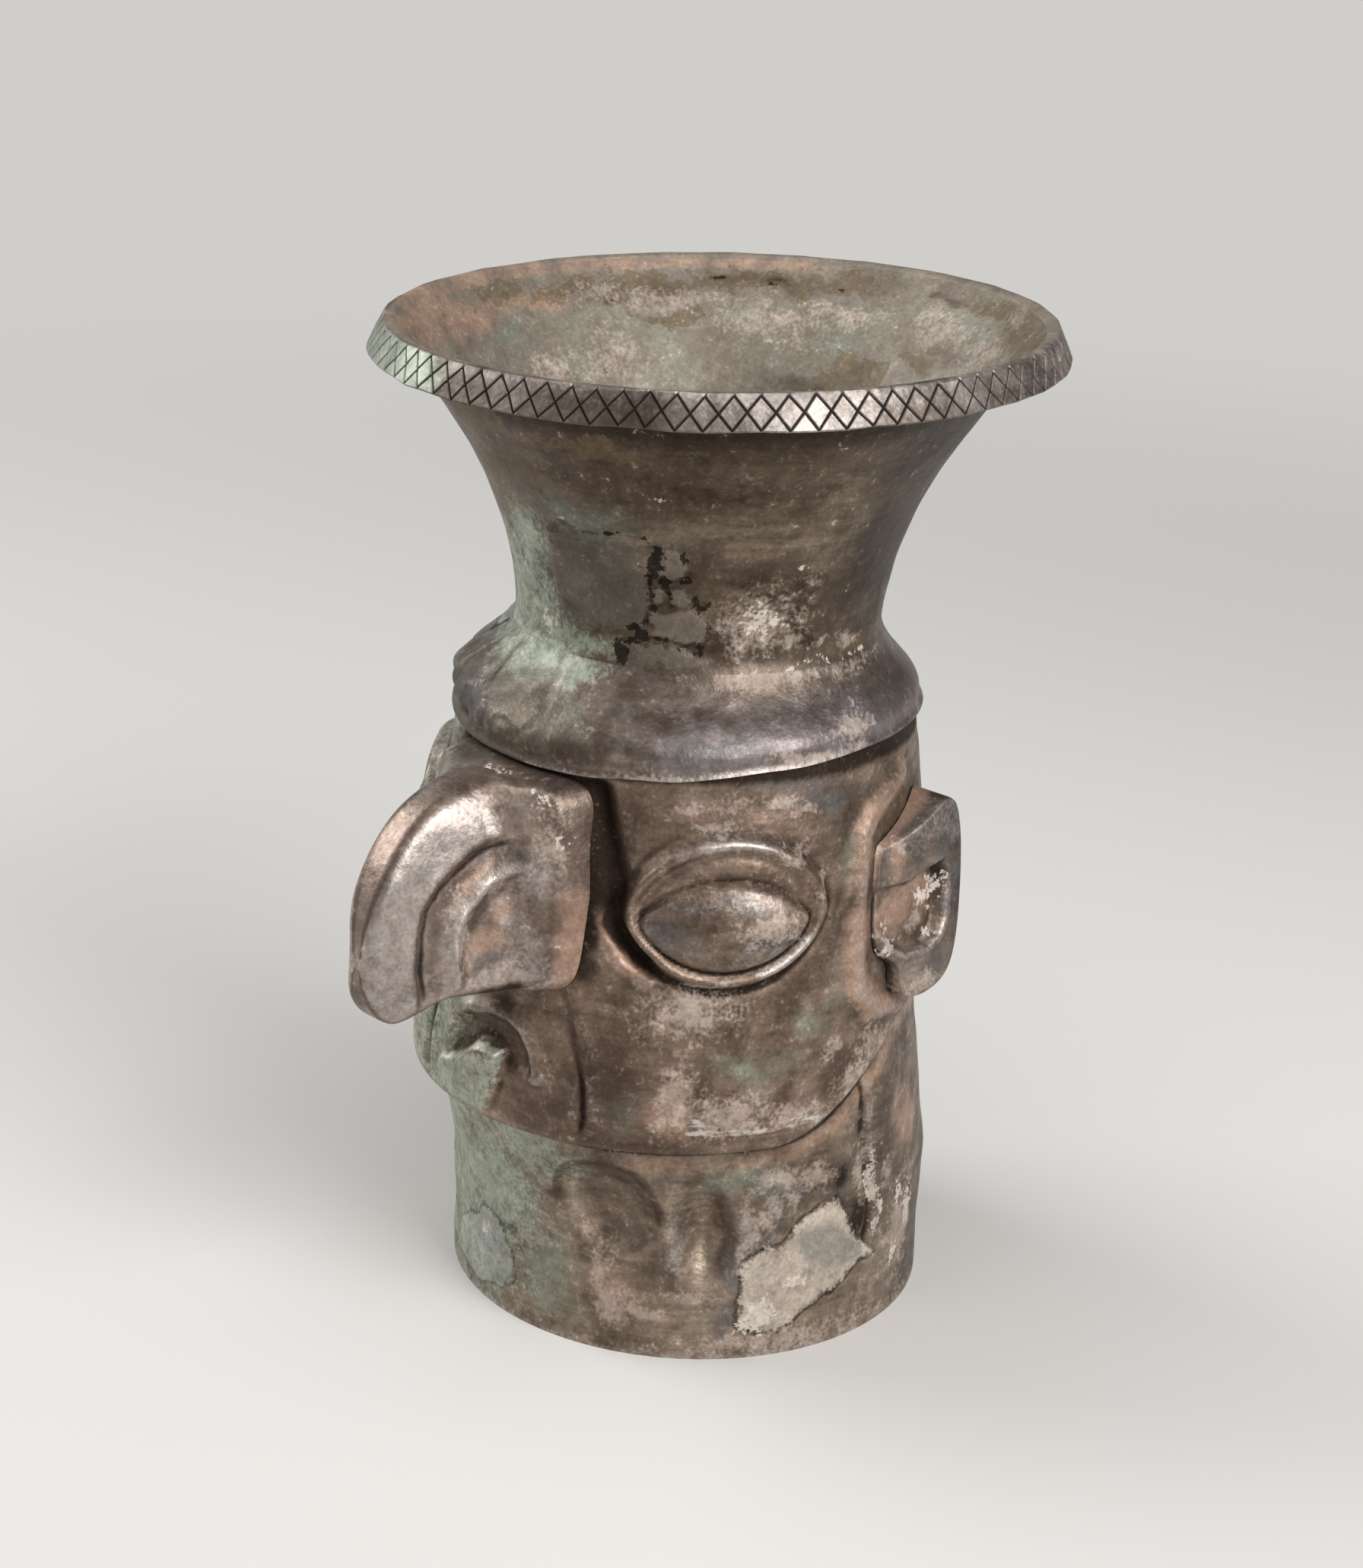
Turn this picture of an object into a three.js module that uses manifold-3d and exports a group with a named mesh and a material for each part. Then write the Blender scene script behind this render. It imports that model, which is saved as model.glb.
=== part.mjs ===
// A kero: a silver drinking beaker, hammered from sheet as a face with a hooked nose.
// Millimetres, +Z up. The origin is the middle of the foot's underside, the face
// looks along -Y, and the figure's left side is towards +X.

import * as THREE from 'three';
import Module from 'manifold-3d';

const wasm = await Module();
wasm.setup();

// Sheet metal and fits
const SHEET = 0.8; // thickness of every hammered wall
const SEAT_GAP = 0.3; // clearance where one piece is seated on another
const LAP_GAP = 0.4; // clearance between two walls that lap
const LAP = 4; // height over which two walls lap

// Foot: a rolled tube that leans forward above its bend, closed by a disc
const FOOT_RADIUS = 48.6;
const FOOT_BEND_Z = 27.3;
const FLOOR_THICKNESS = 1.2;
const SEAM_ANGLE = 94; // middle of the foot's lapped upright seam
const SEAM_WIDTH = 8; // degrees, as all angles here
const SEAM_FLAT = 0.9; // share of the seam's width that is flat on top
const SEAM_STEP = 0.7;

// Head: the wall that carries the face, lower at the jaw than at the nape
const JAW_Z = 48.8;
const JAW_RADIUS = 51;
const JAW_FORWARD = 9; // how far the ring's centre stands in front of the foot's
const NAPE_RISE = 20; // how much higher the lower edge is at the back
const NAPE_FROM = 70; // angle where the edge starts to rise
const NAPE_TO = 120; // angle where it has risen
const HEAD_BELLY = 1.5;
const JAW_LEDGE = 1.2; // thickness of the hem turned in under the jaw

// Shoulder: a collar that laps over the head and narrows to the waist
const BROW_Z = 124.3;
const BROW_RADIUS = 45.9;
const BROW_FORWARD = 6.5;
const BROW_DIP = 2.4; // the brow edge is this much lower in front
const BROW_WAVE = 1.0;
const SHOULDER_HEIGHT = 15.2; // from the brow up to its joint with the neck

// Neck and rim
const WAIST_Z = 142.3;
const WAIST_RADIUS = 35.7;
const WAIST_FORWARD = 4.7;
const RIM_Z = 198.3;
const LIP_RADIUS = 64.3; // outside of the lip at the very top
const RIM_FORWARD = 1.0;
const RIM_SIDE = -1.5; // the mouth stands a little to the figure's right
const FLARE_POWER = 1.75; // how late the neck flares
const SHIFT_POWER = 4; // how late the rings move over to the mouth's centre
const RIM_TILT = 0.02; // the mouth slopes down towards the front right
const BAND_HEIGHT = 6.2;
const BAND_FLARE = 2.8; // how far the band's lower edge stands out past the lip
const BAND_CORNER = 1.6; // the band's inside corner, in thicknesses of sheet

// Nose: a hollow hooked cap seated on the head
const NOSE_ROOT_HALF = 19.5;
const NOSE_PROUD = 3.5; // depth of the root's upright side
const NOSE_TIP_HALF = 4.6;
const NOSE_RIDGE_HALF = 7; // half width of the ridge, just in front of the root
const NOSE_REACH = 89.3; // front of the hook, from the axis
const NOSE_TOP_Z = 120;
const NOSE_HOOK_Z = 75.3; // lowest point of the hook
const NOSE_UNDER_Z = 78.8; // underside, behind the hook
const NOSE_FRONT_Z = 87.3; // height at which the hook reaches furthest
const NOSE_CORNER = 0.4; // 1 is an oval section, less is squarer
const NOSE_NARROWING = 1.5; // how late a section narrows upwards
const NOSE_RIDGE_CURVE = 2.6; // how late the ridge turns down

// The nose from its root, 0, to its tip, 1: where its sections and changes lie
const NOSE_STATIONS = [0, 0.12, 0.26, 0.42, 0.57, 0.71, 0.83, 0.93, 0.985];
const NOSE_ROOT_ENDS = 0.3; // the upper side has drawn in to the ridge
const NOSE_TAPER_ENDS = 0.893; // the lower side is as narrow as the tip
const NOSE_HOOK_DROPS = [0.5, 0.83]; // the underside goes down to the hook
const NOSE_HOOK_RISES = [0.86, 1.05]; // and up again to the front

// Ears: hollow caps that open forward, standing out further at the back
const EAR_ANGLE = 109;
const EAR_Z = 92.5;
const EAR_HALF_WIDTH = 9.5;
const EAR_HALF_HEIGHT = 19.2;
const EAR_SLANT = 0.12; // the top leans back
const EAR_FRONT_DEPTH = 2.2;
const EAR_BACK_DEPTH = 9.5;
const EAR_HOLLOW = 3; // depth of the hollow in the ear's face
const EAR_CORNER = 0.6;
const EAR_SIDE = 0.8; // share of its depth that the ear's side is upright
const EAR_RIM = [0.9, 0.62]; // outer and inner edge of the rim, as shares of its size
const EAR_FLOOR = 0.5; // edge of the hollow's floor

// Eyes, raised in the sheet of the head from inside
const EYE_ANGLE = 57.5;
const EYE_Z = 98.3;
const LID_HALF_WIDTH = 20;
const LID_HALF_HEIGHT = 15.2;
const LID_WIDTH = 3.6; // the lid's ridge, across
const LID_RELIEF = 3.6;
const BALL_RELIEF = 4.8;
const EYE_GROOVE = 1.6; // depth of the line between lid and ball
const EYE_NARROWING = 1.4; // the ball is flatter than the lid's outline

// Raised profiles, from the outline inwards: how far in, and the share of the relief
const LID_PROFILE = [[0.4, 0.85], [0.75, 1]]; // in widths of the lid
const BALL_PROFILE = [[1.7, 0.5], [2.2, 1]];
const GROOVE_IN = 1.1;
const FOLD_PROFILE = [[0.7, 0.7], [0.35, 1]]; // in half widths of the fold
const FOLD_BLUNTNESS = 0.4;
const LIP_PROFILE = [[0.35, 1], [0.6, 1]]; // in widths of the lip
const CHIN_PROFILE = [[0.86, 0.8], [0.6, 1]]; // in half widths of the chin
const SUNK = 0.5; // share of the sheet by which a raised form's edge is sunk in it
const SUNK_UNDER = 0.6; // and its underside

// Folds beside the mouth, upper lip and chin, raised in the same sheet
const FOLD_ANGLE = 26;
const FOLD_HEIGHT = 24;
const FOLD_HALF_WIDTH = 3.4;
const FOLD_RELIEF = 1.8;
const LIP_HALF_WIDTH = 14.5;
const LIP_HEIGHT = 21;
const LIP_WIDTH = 5;
const LIP_RELIEF = 2;
const CHIN_HALF_WIDTH = 9.5;
const CHIN_HEIGHT = 15;
const CHIN_RELIEF = 2.8;
const CHIN_CORNER = 0.55; // 1 is an oval, less is squarer

// How finely the walls and caps are divided
const ROUND_STEPS = 48;
const HEAD_STEPS = 60;
const HEAD_ROWS = 9;
const FOOT_ROWS = [2, 5]; // below and above the bend
const SHOULDER_ROWS = 6;
const NECK_ROWS = 10;
const PATCH_STEPS = 28;
const NOSE_STEPS = 28;

const degrees = THREE.MathUtils.degToRad;
const lerp = THREE.MathUtils.lerp;
const smooth = THREE.MathUtils.smoothstep;

const NAPE_Z = JAW_Z + NAPE_RISE;
const COLLAR_RADIUS = BROW_RADIUS - SHEET - LAP_GAP;
const SEAM_Z = BROW_Z + SHOULDER_HEIGHT;
const BAND_RADIUS = LIP_RADIUS + BAND_FLARE;

// Every wall is a stack of rings: an outer radius and a centre that stands forward.
// Where two walls lap, the one inside takes its ring from the one outside.
function nested(ring, steps = 1) {
  return { ...ring, radius: ring.radius - steps * (SHEET + LAP_GAP) };
}

function headRing(z) {
  if (z > BROW_Z) return nested(shoulderRing(z));
  const t = (z - JAW_Z) / (BROW_Z - JAW_Z);
  return {
    radius: lerp(JAW_RADIUS, COLLAR_RADIUS, t) + HEAD_BELLY * 4 * t * (1 - t),
    forward: lerp(JAW_FORWARD, BROW_FORWARD, t),
    side: 0,
  };
}

function footRing(z) {
  const t = THREE.MathUtils.clamp((z - FOOT_BEND_Z) / (NAPE_Z - FOOT_BEND_Z), 0, 1);
  const nest = nested(headRing(Math.max(z, NAPE_Z)));
  return { radius: lerp(FOOT_RADIUS, nest.radius, t), forward: nest.forward * t, side: 0 };
}

function shoulderRing(z) {
  if (z < BROW_Z) return nested(headRing(z), -1);
  const t = Math.min(1, (z - BROW_Z) / (WAIST_Z - BROW_Z));
  const s = (1 - Math.cos(Math.PI * t)) / 2;
  return {
    radius: lerp(BROW_RADIUS, WAIST_RADIUS, s),
    forward: lerp(BROW_FORWARD, WAIST_FORWARD, s),
    side: 0,
  };
}

function neckRing(z) {
  if (z < WAIST_Z) return shoulderRing(z);
  const u = (z - WAIST_Z) / (RIM_Z - WAIST_Z);
  const lip = LIP_RADIUS - SHEET - SEAT_GAP;
  return {
    radius: WAIST_RADIUS + (lip - WAIST_RADIUS) * u ** FLARE_POWER,
    forward: lerp(WAIST_FORWARD, RIM_FORWARD, u ** SHIFT_POWER),
    side: RIM_SIDE * u ** SHIFT_POWER,
  };
}

// A point on a ring: the angle is 0 at the face's front and grows towards its left.
function onRing(ring, angle, radius, z) {
  const x = ring.side + radius * Math.sin(degrees(angle));
  const y = -(ring.forward + radius * Math.cos(degrees(angle)));
  const u = Math.max(0, z - WAIST_Z) / (RIM_Z - WAIST_Z);
  return [x, y, z + RIM_TILT * u * u * (x + y)];
}

function jawEdge(angle) {
  return JAW_Z + NAPE_RISE * smooth(Math.abs(angle), NAPE_FROM, NAPE_TO);
}

function browEdge(angle) {
  return BROW_Z - BROW_DIP * Math.cos(degrees(angle)) - BROW_WAVE * Math.cos(degrees(2 * angle));
}

// Closes a list of rings or loops into one body and turns its faces outwards.
function body(points, triangles) {
  let volume = 0;
  for (const [a, b, c] of triangles) {
    const [p, q, r] = [points[a], points[b], points[c]].map((v) => new THREE.Vector3(...v));
    volume += p.dot(q.cross(r));
  }
  const faces = volume < 0 ? triangles.map(([a, b, c]) => [a, c, b]) : triangles;
  const geometry = new THREE.BufferGeometry();
  geometry.setAttribute('position', new THREE.Float32BufferAttribute(points.flat(), 3));
  geometry.setIndex(faces.flat());
  geometry.computeVertexNormals();
  return geometry;
}

// Two triangles for each square between row i and row j of a grid whose rows close.
function strip(i, j, count) {
  const triangles = [];
  for (let k = 0; k < count; k++) {
    const n = (k + 1) % count;
    triangles.push([i * count + k, j * count + k, j * count + n]);
    triangles.push([i * count + k, j * count + n, i * count + n]);
  }
  return triangles;
}

// A wall all the way round: each angle gives one closed section of the wall.
function roundWall(angles, section) {
  const loops = angles.map(section);
  const count = loops[0].length;
  const triangles = loops.flatMap((loop, i) => strip(i, (i + 1) % loops.length, count));
  return body(loops.flat(), triangles);
}

// A cap open at its back: outer rings from the seat to the tip, then the inner ones.
function hollowCap(outer, inner) {
  const rings = [...outer.rings, ...inner.rings];
  const count = rings[0].length;
  const last = outer.rings.length - 1;
  const points = [...rings.flat(), outer.tip, inner.tip];
  const triangles = strip(last + 1, 0, count);
  for (let i = 0; i < rings.length - 1; i++) {
    if (i !== last) triangles.push(...strip(...(i < last ? [i, i + 1] : [i + 1, i]), count));
  }
  for (let k = 0; k < count; k++) {
    const n = (k + 1) % count;
    triangles.push([last * count + k, points.length - 2, last * count + n]);
    triangles.push([(rings.length - 1) * count + n, points.length - 1, (rings.length - 1) * count + k]);
  }
  return body(points, triangles);
}

const evenAngles = Array.from({ length: ROUND_STEPS }, (_, i) => (i * 360) / ROUND_STEPS - 180);
const spread = (from, to, steps) => Array.from({ length: steps + 1 }, (_, i) => lerp(from, to, i / steps));

// A plain sheet wall through a list of heights, which may differ from angle to angle.
function sheetWall(ring, heightsAt, angles = evenAngles, raised = () => 0) {
  return roundWall(angles, (angle) => {
    const heights = heightsAt(angle);
    const outer = heights.map((z) => onRing(ring(z), angle, ring(z).radius + raised(angle, z), z));
    const inner = heights.map((z) => onRing(ring(z), angle, ring(z).radius - SHEET, z));
    return [...outer, ...inner.reverse()];
  });
}

function footFloor() {
  const radius = FOOT_RADIUS - SHEET - SEAT_GAP;
  const profile = [[0, 0], [radius, 0], [radius, FLOOR_THICKNESS], [0, FLOOR_THICKNESS]];
  const disc = new THREE.LatheGeometry(profile.map((p) => new THREE.Vector2(...p)), ROUND_STEPS);
  return disc.rotateX(Math.PI / 2);
}

// The tube's two edges lap in an upright seam, which ends below the head's edge.
function footWall() {
  const off = (angle) => Math.abs(angle - SEAM_ANGLE);
  const half = SEAM_WIDTH / 2;
  const seamEdges = [-1, -SEAM_FLAT, SEAM_FLAT, 1].map((side) => SEAM_ANGLE + side * half);
  const angles = [...evenAngles.filter((angle) => off(angle) > half + 1), ...seamEdges];
  angles.sort((a, b) => a - b);
  const below = spread(0, FOOT_BEND_Z, FOOT_ROWS[0]);
  const above = spread(FOOT_BEND_Z, NAPE_Z, FOOT_ROWS[1]).slice(1);
  const rowHeight = above[1] - above[0];
  const onTop = (angle) => off(angle) < (half * (1 + SEAM_FLAT)) / 2;
  const seam = (angle, z) => (onTop(angle) && z + rowHeight < jawEdge(angle) ? SEAM_STEP : 0);
  return sheetWall(footRing, () => [...below, ...above, NAPE_Z + LAP], angles, seam);
}

// The head's plain wall, with a hem turned in to the foot along its lower edge.
function headWall() {
  const angles = spread(-180, 180, HEAD_STEPS).slice(0, HEAD_STEPS);
  const collar = [BROW_Z, BROW_Z + LAP];
  const rows = (from) => [...spread(from, browEdge(0), HEAD_ROWS), ...collar];
  return roundWall(angles, (angle) => {
    const edge = jawEdge(angle);
    const ledgeTop = edge + JAW_LEDGE;
    const outer = rows(edge).map((z) => onHead(angle, z, 0));
    const inner = rows(ledgeTop).map((z) => onHead(angle, z, -SHEET));
    const hem = [ledgeTop, edge].map((z) => onRing(headRing(z), angle, hemRadius(angle, z), z));
    return [...outer, ...inner.reverse(), ...hem];
  });
}

// Where a ray from the head's centre meets the foot, with the seat's clearance.
function hemRadius(angle, z) {
  const foot = footRing(z);
  const reach = foot.radius + SEAT_GAP;
  const ahead = headRing(z).forward - foot.forward;
  const a = degrees(angle);
  return -ahead * Math.cos(a) + Math.sqrt(reach ** 2 - (ahead * Math.sin(a)) ** 2);
}

function shoulderCollar() {
  return sheetWall(shoulderRing, (angle) => spread(browEdge(angle), SEAM_Z, SHOULDER_ROWS));
}

function neckFlare() {
  const heights = spread(SEAM_Z + SEAT_GAP, RIM_Z - SHEET - SEAT_GAP, NECK_ROWS);
  return sheetWall(neckRing, () => heights);
}

// The rim band hooks over the lip, slopes out and down, and turns in under itself.
function rimBand() {
  const low = RIM_Z - BAND_HEIGHT;
  return roundWall(evenAngles, (angle) => {
    const at = (radius, z) => onRing(neckRing(RIM_Z), angle, radius, z);
    const neckAt = (z) => onRing(neckRing(z), angle, neckRing(z).radius + SEAT_GAP, z);
    const lipInside = LIP_RADIUS - 2 * SHEET - SEAT_GAP;
    return [
      at(lipInside, RIM_Z - SHEET), at(lipInside, RIM_Z), at(LIP_RADIUS, RIM_Z),
      at(BAND_RADIUS, low), neckAt(low - SHEET / 2), neckAt(low + SHEET / 2),
      at(BAND_RADIUS - SHEET * BAND_CORNER, low + SHEET), at(LIP_RADIUS - SHEET / 2, RIM_Z - SHEET),
    ];
  });
}

// Front of the head's wall at a sideways place and a height.
function headFront(x, z) {
  const ring = headRing(z);
  return ring.forward + Math.sqrt(ring.radius ** 2 - x ** 2);
}

// Sections of the nose from its root to its tip: reach, half widths, top and bottom.
function noseSections(wall) {
  const root = headFront(NOSE_ROOT_HALF, NOSE_FRONT_Z) + NOSE_PROUD;
  const tip = NOSE_REACH - wall;
  return NOSE_STATIONS.map((t) => {
    const reach = lerp(root, tip, t);
    const low = lerp(NOSE_ROOT_HALF, NOSE_TIP_HALF, Math.min(1, t / NOSE_TAPER_ENDS)) - wall;
    const ridge = lerp(NOSE_RIDGE_HALF, NOSE_TIP_HALF, t);
    const high = lerp(ridge, NOSE_ROOT_HALF, (1 - Math.min(1, t / NOSE_ROOT_ENDS)) ** 2) - wall;
    const drop = 1 - Math.sqrt(1 - t ** NOSE_RIDGE_CURVE);
    const top = lerp(NOSE_TOP_Z, NOSE_FRONT_Z, drop) - wall;
    const hook = lerp(NOSE_UNDER_Z, NOSE_HOOK_Z, smooth(t, ...NOSE_HOOK_DROPS));
    const bottom = lerp(hook, NOSE_FRONT_Z, smooth(t, ...NOSE_HOOK_RISES)) + wall;
    return { reach, low, high, top, bottom };
  });
}

function noseRings(wall) {
  const turns = spread(0, 2 * Math.PI, NOSE_STEPS).slice(0, NOSE_STEPS);
  const round = (v) => Math.sign(v) * Math.abs(v) ** NOSE_CORNER;
  const rings = noseSections(wall).map((s) => turns.map((a) => {
    const up = (1 + round(Math.sin(a))) / 2;
    const x = lerp(s.low, s.high, up ** NOSE_NARROWING) * round(Math.cos(a));
    const z = lerp(s.bottom, s.top, up);
    return [x, -Math.max(s.reach, headFront(x, z) + SEAT_GAP + NOSE_PROUD - wall), z];
  }));
  const seat = rings[0].map(([x, , z]) => [x, -(headFront(x, z) + SEAT_GAP), z]);
  return { rings: [seat, ...rings], tip: [0, -(NOSE_REACH - wall), NOSE_FRONT_Z] };
}

function hollowNose() {
  return hollowCap(noseRings(0), noseRings(SHEET));
}

// A point that stands out from the head's wall by a given lift.
function onHead(angle, z, lift) {
  const ring = headRing(z);
  return onRing(ring, angle, ring.radius + lift, z);
}

// Rings of a patch on the head, from its edge to its middle. Each layer is a rounded
// outline with a half width, a half height and a lift that may change across it.
function patch(angle, z, layers, corner = 1, slant = 0) {
  const turns = spread(0, 2 * Math.PI, PATCH_STEPS).slice(0, PATCH_STEPS);
  const round = (v) => Math.sign(v) * Math.abs(v) ** corner;
  const place = (across, up, lift) => {
    const turn = THREE.MathUtils.radToDeg((across + slant * up) / headRing(z + up).radius);
    return onHead(angle + Math.sign(angle || 1) * turn, z + up, lift(across));
  };
  const rings = layers.map(([halfWidth, halfHeight, lift]) => turns.map((a) => (
    place(halfWidth * round(Math.cos(a)), halfHeight * round(Math.sin(a)), lift))));
  return { rings, tip: place(0, 0, layers.at(-1)[2]) };
}

// A solid bump with its underside sunk into the head's wall or, as a cutter, behind it.
function bump(angle, z, layers, underside = -SHEET * SUNK_UNDER, corner = 1) {
  const [halfWidth, halfHeight] = layers[0];
  const base = patch(angle, z, [[halfWidth, halfHeight, () => underside]], corner);
  return hollowCap(patch(angle, z, layers, corner), base);
}

// Lid and ball of an eye, from the outside.
function eyeLayers() {
  const size = (inwards, lift) => {
    const shrink = LID_WIDTH * inwards;
    return [LID_HALF_WIDTH - shrink, LID_HALF_HEIGHT - shrink * EYE_NARROWING, () => lift];
  };
  return [
    size(0, -SHEET * SUNK),
    ...LID_PROFILE.map(([inwards, share]) => size(inwards, LID_RELIEF * share)),
    size(GROOVE_IN, LID_RELIEF - EYE_GROOVE),
    ...BALL_PROFILE.map(([inwards, share]) => size(inwards, lerp(LID_RELIEF, BALL_RELIEF, share))),
  ];
}

// The plain hollow that the raised eye leaves behind the sheet.
function eyeHollow() {
  const size = (shrink, lift) => [LID_HALF_WIDTH - shrink, LID_HALF_HEIGHT - shrink, () => lift];
  return [size(SHEET * 2, -SHEET * 1.2), size(SHEET + LID_WIDTH, LID_RELIEF - EYE_GROOVE - SHEET)];
}

function foldBump(side) {
  const size = (share, lift) => [
    FOLD_HALF_WIDTH * share, (FOLD_HEIGHT / 2) * share ** FOLD_BLUNTNESS, () => lift];
  const raised = FOLD_PROFILE.map(([share, lift]) => size(share, FOLD_RELIEF * lift));
  const layers = [size(1, -SHEET * SUNK), ...raised];
  return bump(side * FOLD_ANGLE, JAW_Z + SHEET + FOLD_HEIGHT / 2, layers);
}

function lipBump() {
  const size = (inwards, lift) => [
    LIP_HALF_WIDTH - LIP_WIDTH * inwards, LIP_HEIGHT / 2 - LIP_WIDTH * inwards, () => lift];
  const raised = LIP_PROFILE.map(([inwards, lift]) => size(inwards, LIP_RELIEF * lift));
  const layers = [size(0, -SHEET * SUNK), ...raised, size(1, (-SHEET * SUNK) / 2)];
  return bump(0, JAW_Z + SHEET + LIP_HEIGHT / 2, layers);
}

function chinBump() {
  const size = (share, lift) => [CHIN_HALF_WIDTH * share, (CHIN_HEIGHT / 2) * share, () => lift];
  const raised = CHIN_PROFILE.map(([share, lift]) => size(share, CHIN_RELIEF * lift));
  const layers = [size(1, -SHEET * SUNK), ...raised];
  return bump(0, JAW_Z + SHEET + CHIN_HEIGHT / 2, layers, -SHEET * SUNK_UNDER, CHIN_CORNER);
}

function solid(geometry) {
  const vertProperties = geometry.attributes.position.array;
  const triVerts = Uint32Array.from(geometry.index.array);
  return new wasm.Manifold(new wasm.Mesh({ numProp: 3, vertProperties, triVerts }));
}

function faceShell() {
  let shell = solid(headWall());
  for (const side of [-1, 1]) {
    shell = shell.add(solid(bump(side * EYE_ANGLE, EYE_Z, eyeLayers())));
    shell = shell.subtract(solid(bump(side * EYE_ANGLE, EYE_Z, eyeHollow(), -SHEET * 2)));
    shell = shell.add(solid(foldBump(side)));
  }
  shell = shell.add(solid(lipBump())).add(solid(chinBump()));
  const mesh = shell.getMesh();
  const geometry = new THREE.BufferGeometry();
  geometry.setAttribute('position', new THREE.Float32BufferAttribute(mesh.vertProperties, 3));
  geometry.setIndex(Array.from(mesh.triVerts));
  geometry.computeVertexNormals();
  return geometry;
}

// Layers of an ear from its seat over its rim to the floor of its hollow face.
function earLayers(wall) {
  const depth = (across) => {
    const back = THREE.MathUtils.clamp((across / EAR_HALF_WIDTH + 1) / 2, 0, 1);
    return lerp(EAR_FRONT_DEPTH, EAR_BACK_DEPTH, back) + SEAT_GAP - wall;
  };
  const hollow = (across) => Math.max(depth(across) - EAR_HOLLOW, SEAT_GAP + SHEET * 1.2 - wall);
  const lifts = [
    [1, () => SEAT_GAP],
    [1, (across) => depth(across) * EAR_SIDE],
    ...EAR_RIM.map((share) => [share, depth]),
    [EAR_FLOOR, hollow],
  ];
  return lifts.map(([share, lift]) => [
    (EAR_HALF_WIDTH - wall) * share, (EAR_HALF_HEIGHT - wall) * share, lift]);
}

function hollowEar(side) {
  const cap = (wall) => patch(side * EAR_ANGLE, EAR_Z, earLayers(wall), EAR_CORNER, EAR_SLANT);
  return hollowCap(cap(0), cap(SHEET));
}

// Old silver is darker and rougher where it was handled least.
function silver(color, roughness) {
  return new THREE.MeshStandardMaterial({ color, roughness, metalness: 0.9 });
}

const cup = new THREE.Group();

function piece(name, geometry, material) {
  const mesh = new THREE.Mesh(geometry, material);
  mesh.name = name;
  cup.add(mesh);
}

piece('foot_floor', footFloor(), silver('#6b6058', 0.5));
piece('foot_wall', footWall(), silver('#7d7266', 0.5));
piece('face_shell', faceShell(), silver('#6f5f54', 0.45));
piece('nose', hollowNose(), silver('#7a6a61', 0.4));
piece('left_ear', hollowEar(1), silver('#74645a', 0.45));
piece('right_ear', hollowEar(-1), silver('#74645a', 0.45));
piece('shoulder_collar', shoulderCollar(), silver('#77695f', 0.42));
piece('neck_flare', neckFlare(), silver('#675c4f', 0.5));
piece('rim_band', rimBand(), silver('#7b756b', 0.35));

export default cup;
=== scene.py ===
"""A kero: a silver drinking beaker, hammered from sheet as a face with a hooked nose.

The file follows the cup as it is put together, from the floor of its foot up to its rim.
Lengths are in millimetres until a mesh is made, and in metres from there on.
"""
import math

import bpy
import numpy as np
from mathutils import Matrix, Vector, noise


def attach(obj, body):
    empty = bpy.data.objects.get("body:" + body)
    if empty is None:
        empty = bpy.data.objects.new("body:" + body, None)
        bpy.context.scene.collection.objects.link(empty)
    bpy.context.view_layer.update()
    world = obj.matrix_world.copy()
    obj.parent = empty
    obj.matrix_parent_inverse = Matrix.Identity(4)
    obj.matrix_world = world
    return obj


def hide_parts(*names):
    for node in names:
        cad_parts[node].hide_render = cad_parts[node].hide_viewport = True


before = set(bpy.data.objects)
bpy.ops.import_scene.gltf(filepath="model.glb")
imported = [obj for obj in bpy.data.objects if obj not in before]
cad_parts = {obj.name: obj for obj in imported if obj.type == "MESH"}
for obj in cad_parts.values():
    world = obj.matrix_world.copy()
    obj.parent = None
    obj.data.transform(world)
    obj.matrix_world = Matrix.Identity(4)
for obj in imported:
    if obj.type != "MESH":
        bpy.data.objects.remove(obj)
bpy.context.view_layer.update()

# Foot floor: the disc that closes the foot and carries the drink.
# It is cut from silver sheet, beaten a little hollow, and soldered inside the tube's lower edge.

MM = 0.001
SHEET = 0.8
SEAT_GAP = 0.3  # between two pieces that are soldered together
FOOT_RADIUS = 48.6
FLOOR_RADIUS = FOOT_RADIUS - SHEET - SEAT_GAP
FLOOR_THICKNESS, FLOOR_HOLLOW = 1.2, 0.5
FLOOR_BLOW, FLOOR_BLOW_SIZE = 0.12, 9
FLOOR_STEP, FLOOR_RINGS = 2.5, 30  # degrees, and rings inside the edge
FLOOR_SHIFT = 83  # how far the patterns are moved off the origin


def lerp(a, b, t):
    return a + (b - a) * t


def srgb(colour):
    """The linear colour of an sRGB hex value."""
    parts = [int(colour[i:i + 2], 16) / 255 for i in (1, 3, 5)]
    return [c / 12.92 if c <= 0.04045 else ((c + 0.055) / 1.055) ** 2.4 for c in parts] + [1.0]


def node(tree, kind, inputs=None, **settings):
    """Adds a node with its settings; an input is given a value or the socket that feeds it."""
    made = tree.nodes.new(kind)
    for name, value in settings.items():
        setattr(made, name, value)
    for key, value in (inputs or {}).items():
        if isinstance(value, bpy.types.NodeSocket):
            tree.links.new(value, made.inputs[key])
        else:
            made.inputs[key].default_value = value
    return made


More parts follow.
